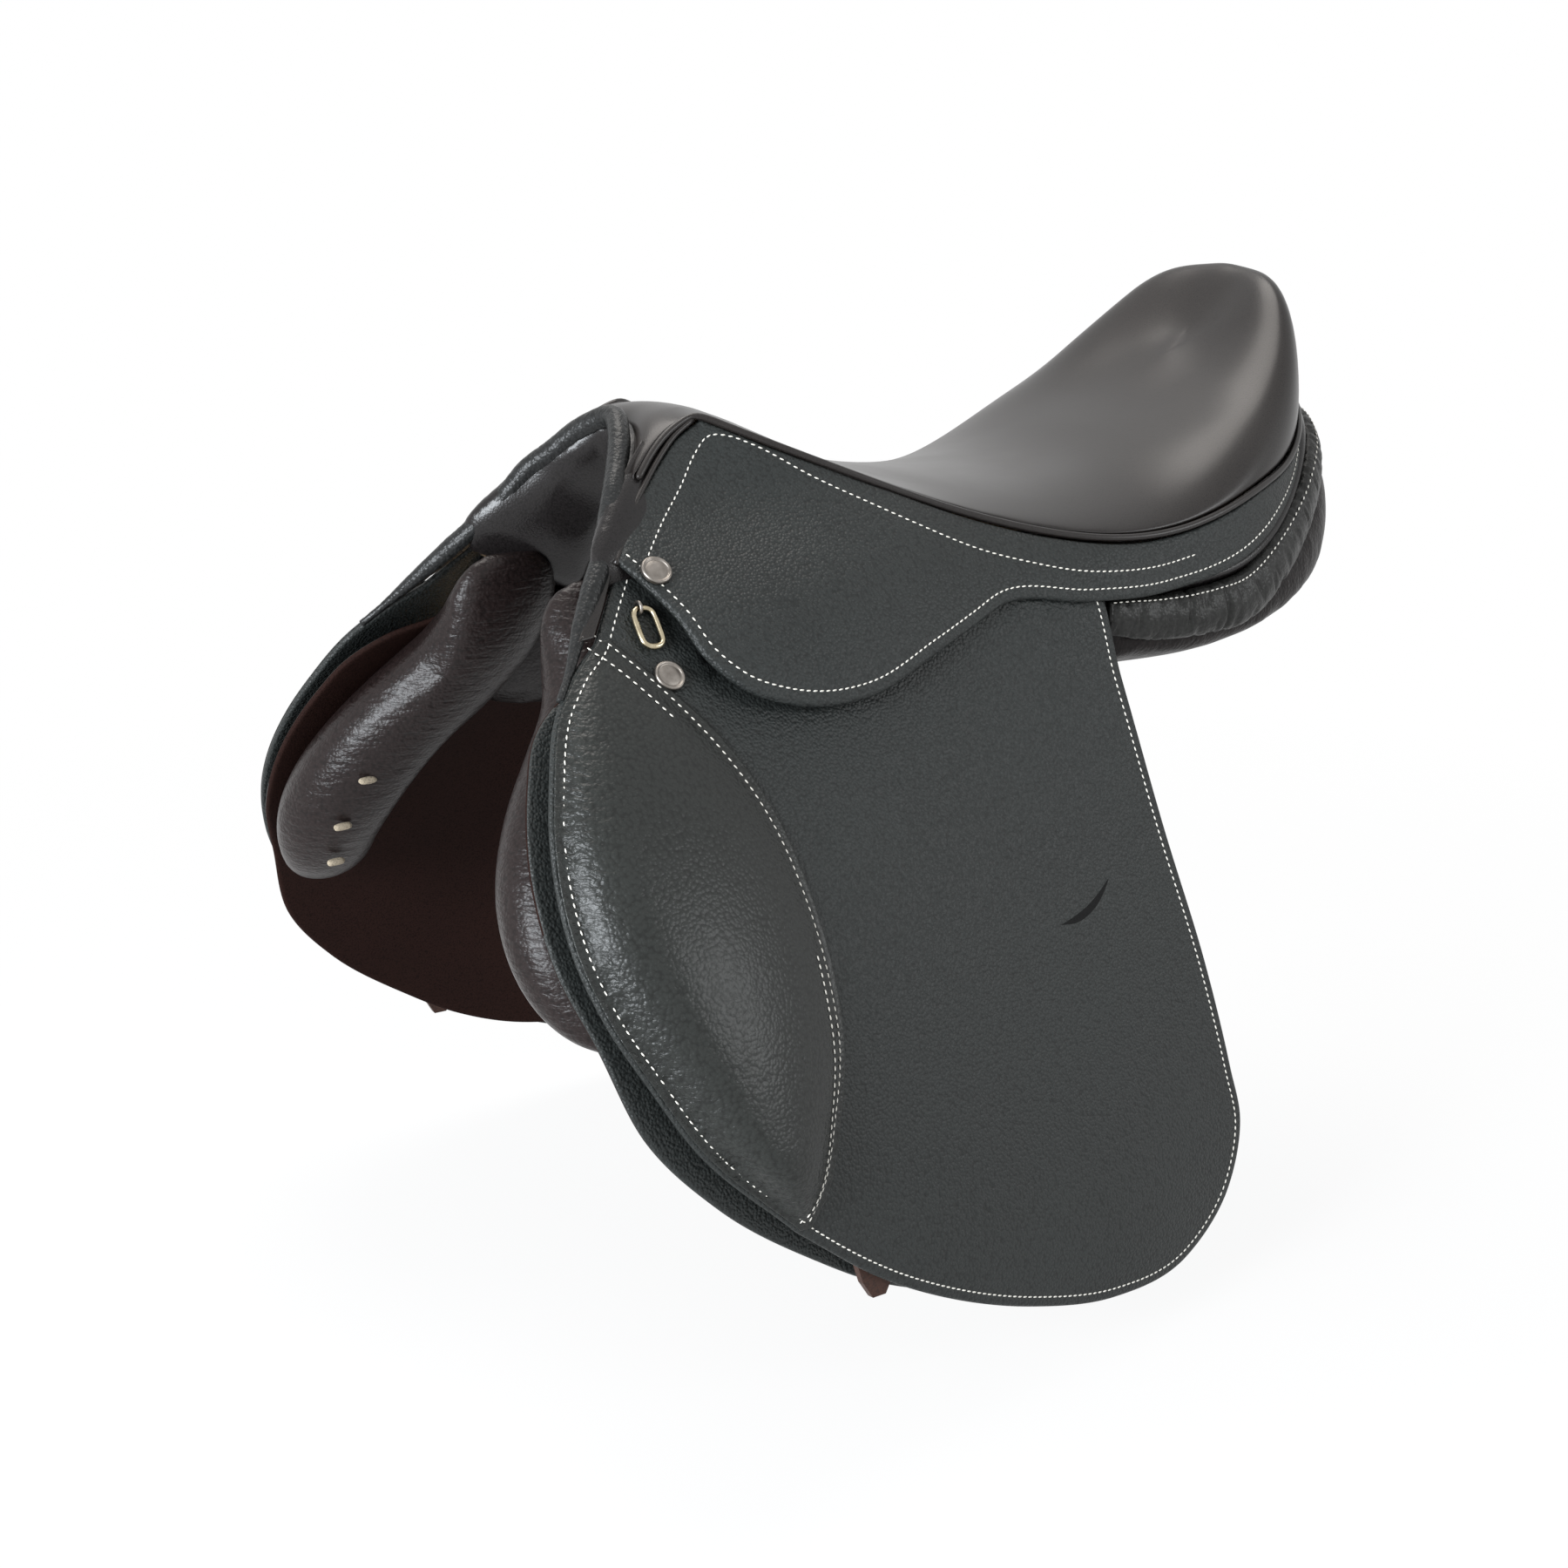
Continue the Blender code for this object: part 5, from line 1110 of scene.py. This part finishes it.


# Trim of the pommel and the flap: a strip of the seat's calf and its thin welt
# between the arch roll and the skirt, and in each flap the slot for a keeper
# strap, shown as a dark sheet laid in the surface: painted shade for the opening.
STRIP_REAR = (
    (-150, 19), (-158, 10.5), (-168, 1.5), (-177, -7.5), (-186, -18.5), (-196, -30), (-207, -43), (-219, -56),
)
STRIP_FRONT = (
    (-228, -57), (-218, -46), (-206, -33), (-196, -22), (-186, -6), (-179, 5), (-168, 17), (-158, 27),
)
POMMEL_WELT = ((-129, 34.5), (-141, 27.5), (-153, 17), (-165, 5), (-176, -6), (-186, -18.5), (-195, -28.5))
POMMEL_WELT_DEPTH = -0.0052
POMMEL_WELT_RADIUS = 0.0015
SLOT = (
    (1.4, -212.6), (12, -210.2), (22.7, -206.6), (32, -201.8), (40.2, -196.5), (33, -204.6), (22.7, -211.0),
    (12, -213.6), (1.4, -212.6),
)
# The slot is a near-black matte sheet over the flap: painted shade for the opening.
slot_shade = leather("slot_painted_shade", (0.004, 0.004, 0.004), 0.9, pebble=900, depth=0.00002)
strip_ends = (STRIP_REAR[-1], STRIP_FRONT[0]), (STRIP_FRONT[-1], STRIP_REAR[0])
strip_shape = pattern_edge(STRIP_REAR, strip_ends[0], STRIP_FRONT, strip_ends[1])
slot_shape = pattern_edge(SLOT)
for label, side in SIDES:
    strip = laid(
        "pommel_strip_" + label, strip_shape, at_depth(-0.0022), side, 0.0014, round_edge=0.0007, cell=0.004,
    )
    dressed(strip, seat_hide, "saddle")
    welt_path = pattern_run(POMMEL_WELT)
    places = [on_side(t, z, POMMEL_WELT_DEPTH, side) for t, z in welt_path]
    outs = [on_side(t, z, -0.01, side) - on_side(t, z, 0, side) for t, z in welt_path]
    radii = np.full(len(places), POMMEL_WELT_RADIUS)
    welt = swept("pommel_welt_" + label, places, outs, radii, sides=10)[0]
    dressed(welt, seat_hide, "saddle")
    slot = laid(
        "keeper_slot_" + label, slot_shape, at_depth(-0.00012), side, 0.0003, round_edge=0.0002, cell=0.003,
    )
    dressed(slot, slot_shade)
    bends_with_flap(slot, side)


# Stirrup bars: forged steel, riveted to the tree; the front end goes in under
# the skirt, so that only the blade and the catch lie in the open window.
BAR_FRONT = -0.1595
steel = metal("forged_steel", (0.42, 0.43, 0.45), (0.22, 0.23, 0.25), 0.32)
for label, side in SIDES:
    bar = copied("stirrup_bar_" + label, "stirrup_bar_blade_" + label)
    bpy.ops.object.mode_set(mode="EDIT")
    bpy.ops.mesh.select_all(action="SELECT")
    bpy.ops.mesh.bisect(plane_co=(BAR_FRONT, 0, 0), plane_no=(1, 0, 0), use_fill=True, clear_inner=True)
    bpy.ops.object.mode_set(mode="OBJECT")
    dressed(bar, steel, "saddle")
    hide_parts("stirrup_bar_" + label)


# What the leather hides: the laminated tree with its steels, the webs of the
# seat and the girth, the catches of the stirrup bars, and the girth straps.
def plain(name, colour, other, roughness, scale, metallic=0.0, stretch=(1, 1, 1), bump=0.0):
    """A finish between two tones by a noise, which is stretched along a grain where asked."""
    material, tree, shader = new_material(name)
    place = shader_node(tree, "TexCoord").outputs["Object"]
    grain = shader_node(tree, "Mapping", {"Vector": place, "Scale": stretch}).outputs[0]
    pattern = shader_node(tree, "TexNoise", {"Vector": grain, "Scale": scale, "Detail": 4}).outputs["Fac"]
    tone = mixed_tone(tree, pattern, colour, other)
    set_inputs(shader, {"Metallic": metallic, "Roughness": roughness, "Base Color": tone})
    if bump:
        relief = shader_node(tree, "Bump", {"Height": pattern, "Distance": bump})
        set_inputs(shader, {"Normal": relief.outputs[0]})
    return material


birch = plain("laminated_birch", (0.50, 0.32, 0.17), (0.68, 0.48, 0.29), 0.45, 30, stretch=(1, 6, 12))
spring = plain("blued_steel", (0.30, 0.32, 0.35), (0.48, 0.49, 0.51), 0.32, 200, metallic=1.0)
canvas = plain("linen_web", (0.50, 0.44, 0.33), (0.72, 0.66, 0.54), 0.85, 500, bump=0.0003)
strap_hide = leather("strap_hide", (0.040, 0.016, 0.010), 0.45, pebble=900, depth=0.00006, tint=1.4)
HIDDEN = [("tree_head", birch), ("tree_rails", birch), ("gullet_plate", spring)]
HIDDEN += [("seat_web_long", canvas), ("seat_web_cross", canvas)]
for label, side in SIDES:
    HIDDEN += [("spring_steel_" + label, spring), ("bar_catch_" + label, spring)]
    HIDDEN += [(f"girth_web_{part}_{label}", canvas) for part in ("point", "rear")]
    HIDDEN += [(f"girth_strap_{part}_{label}", strap_hide) for part in ("point", "front", "rear")]
for name, material in HIDDEN:
    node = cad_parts[name]
    node.data.materials.clear()
    node.data.materials.append(material)

bpy.context.view_layer.update()
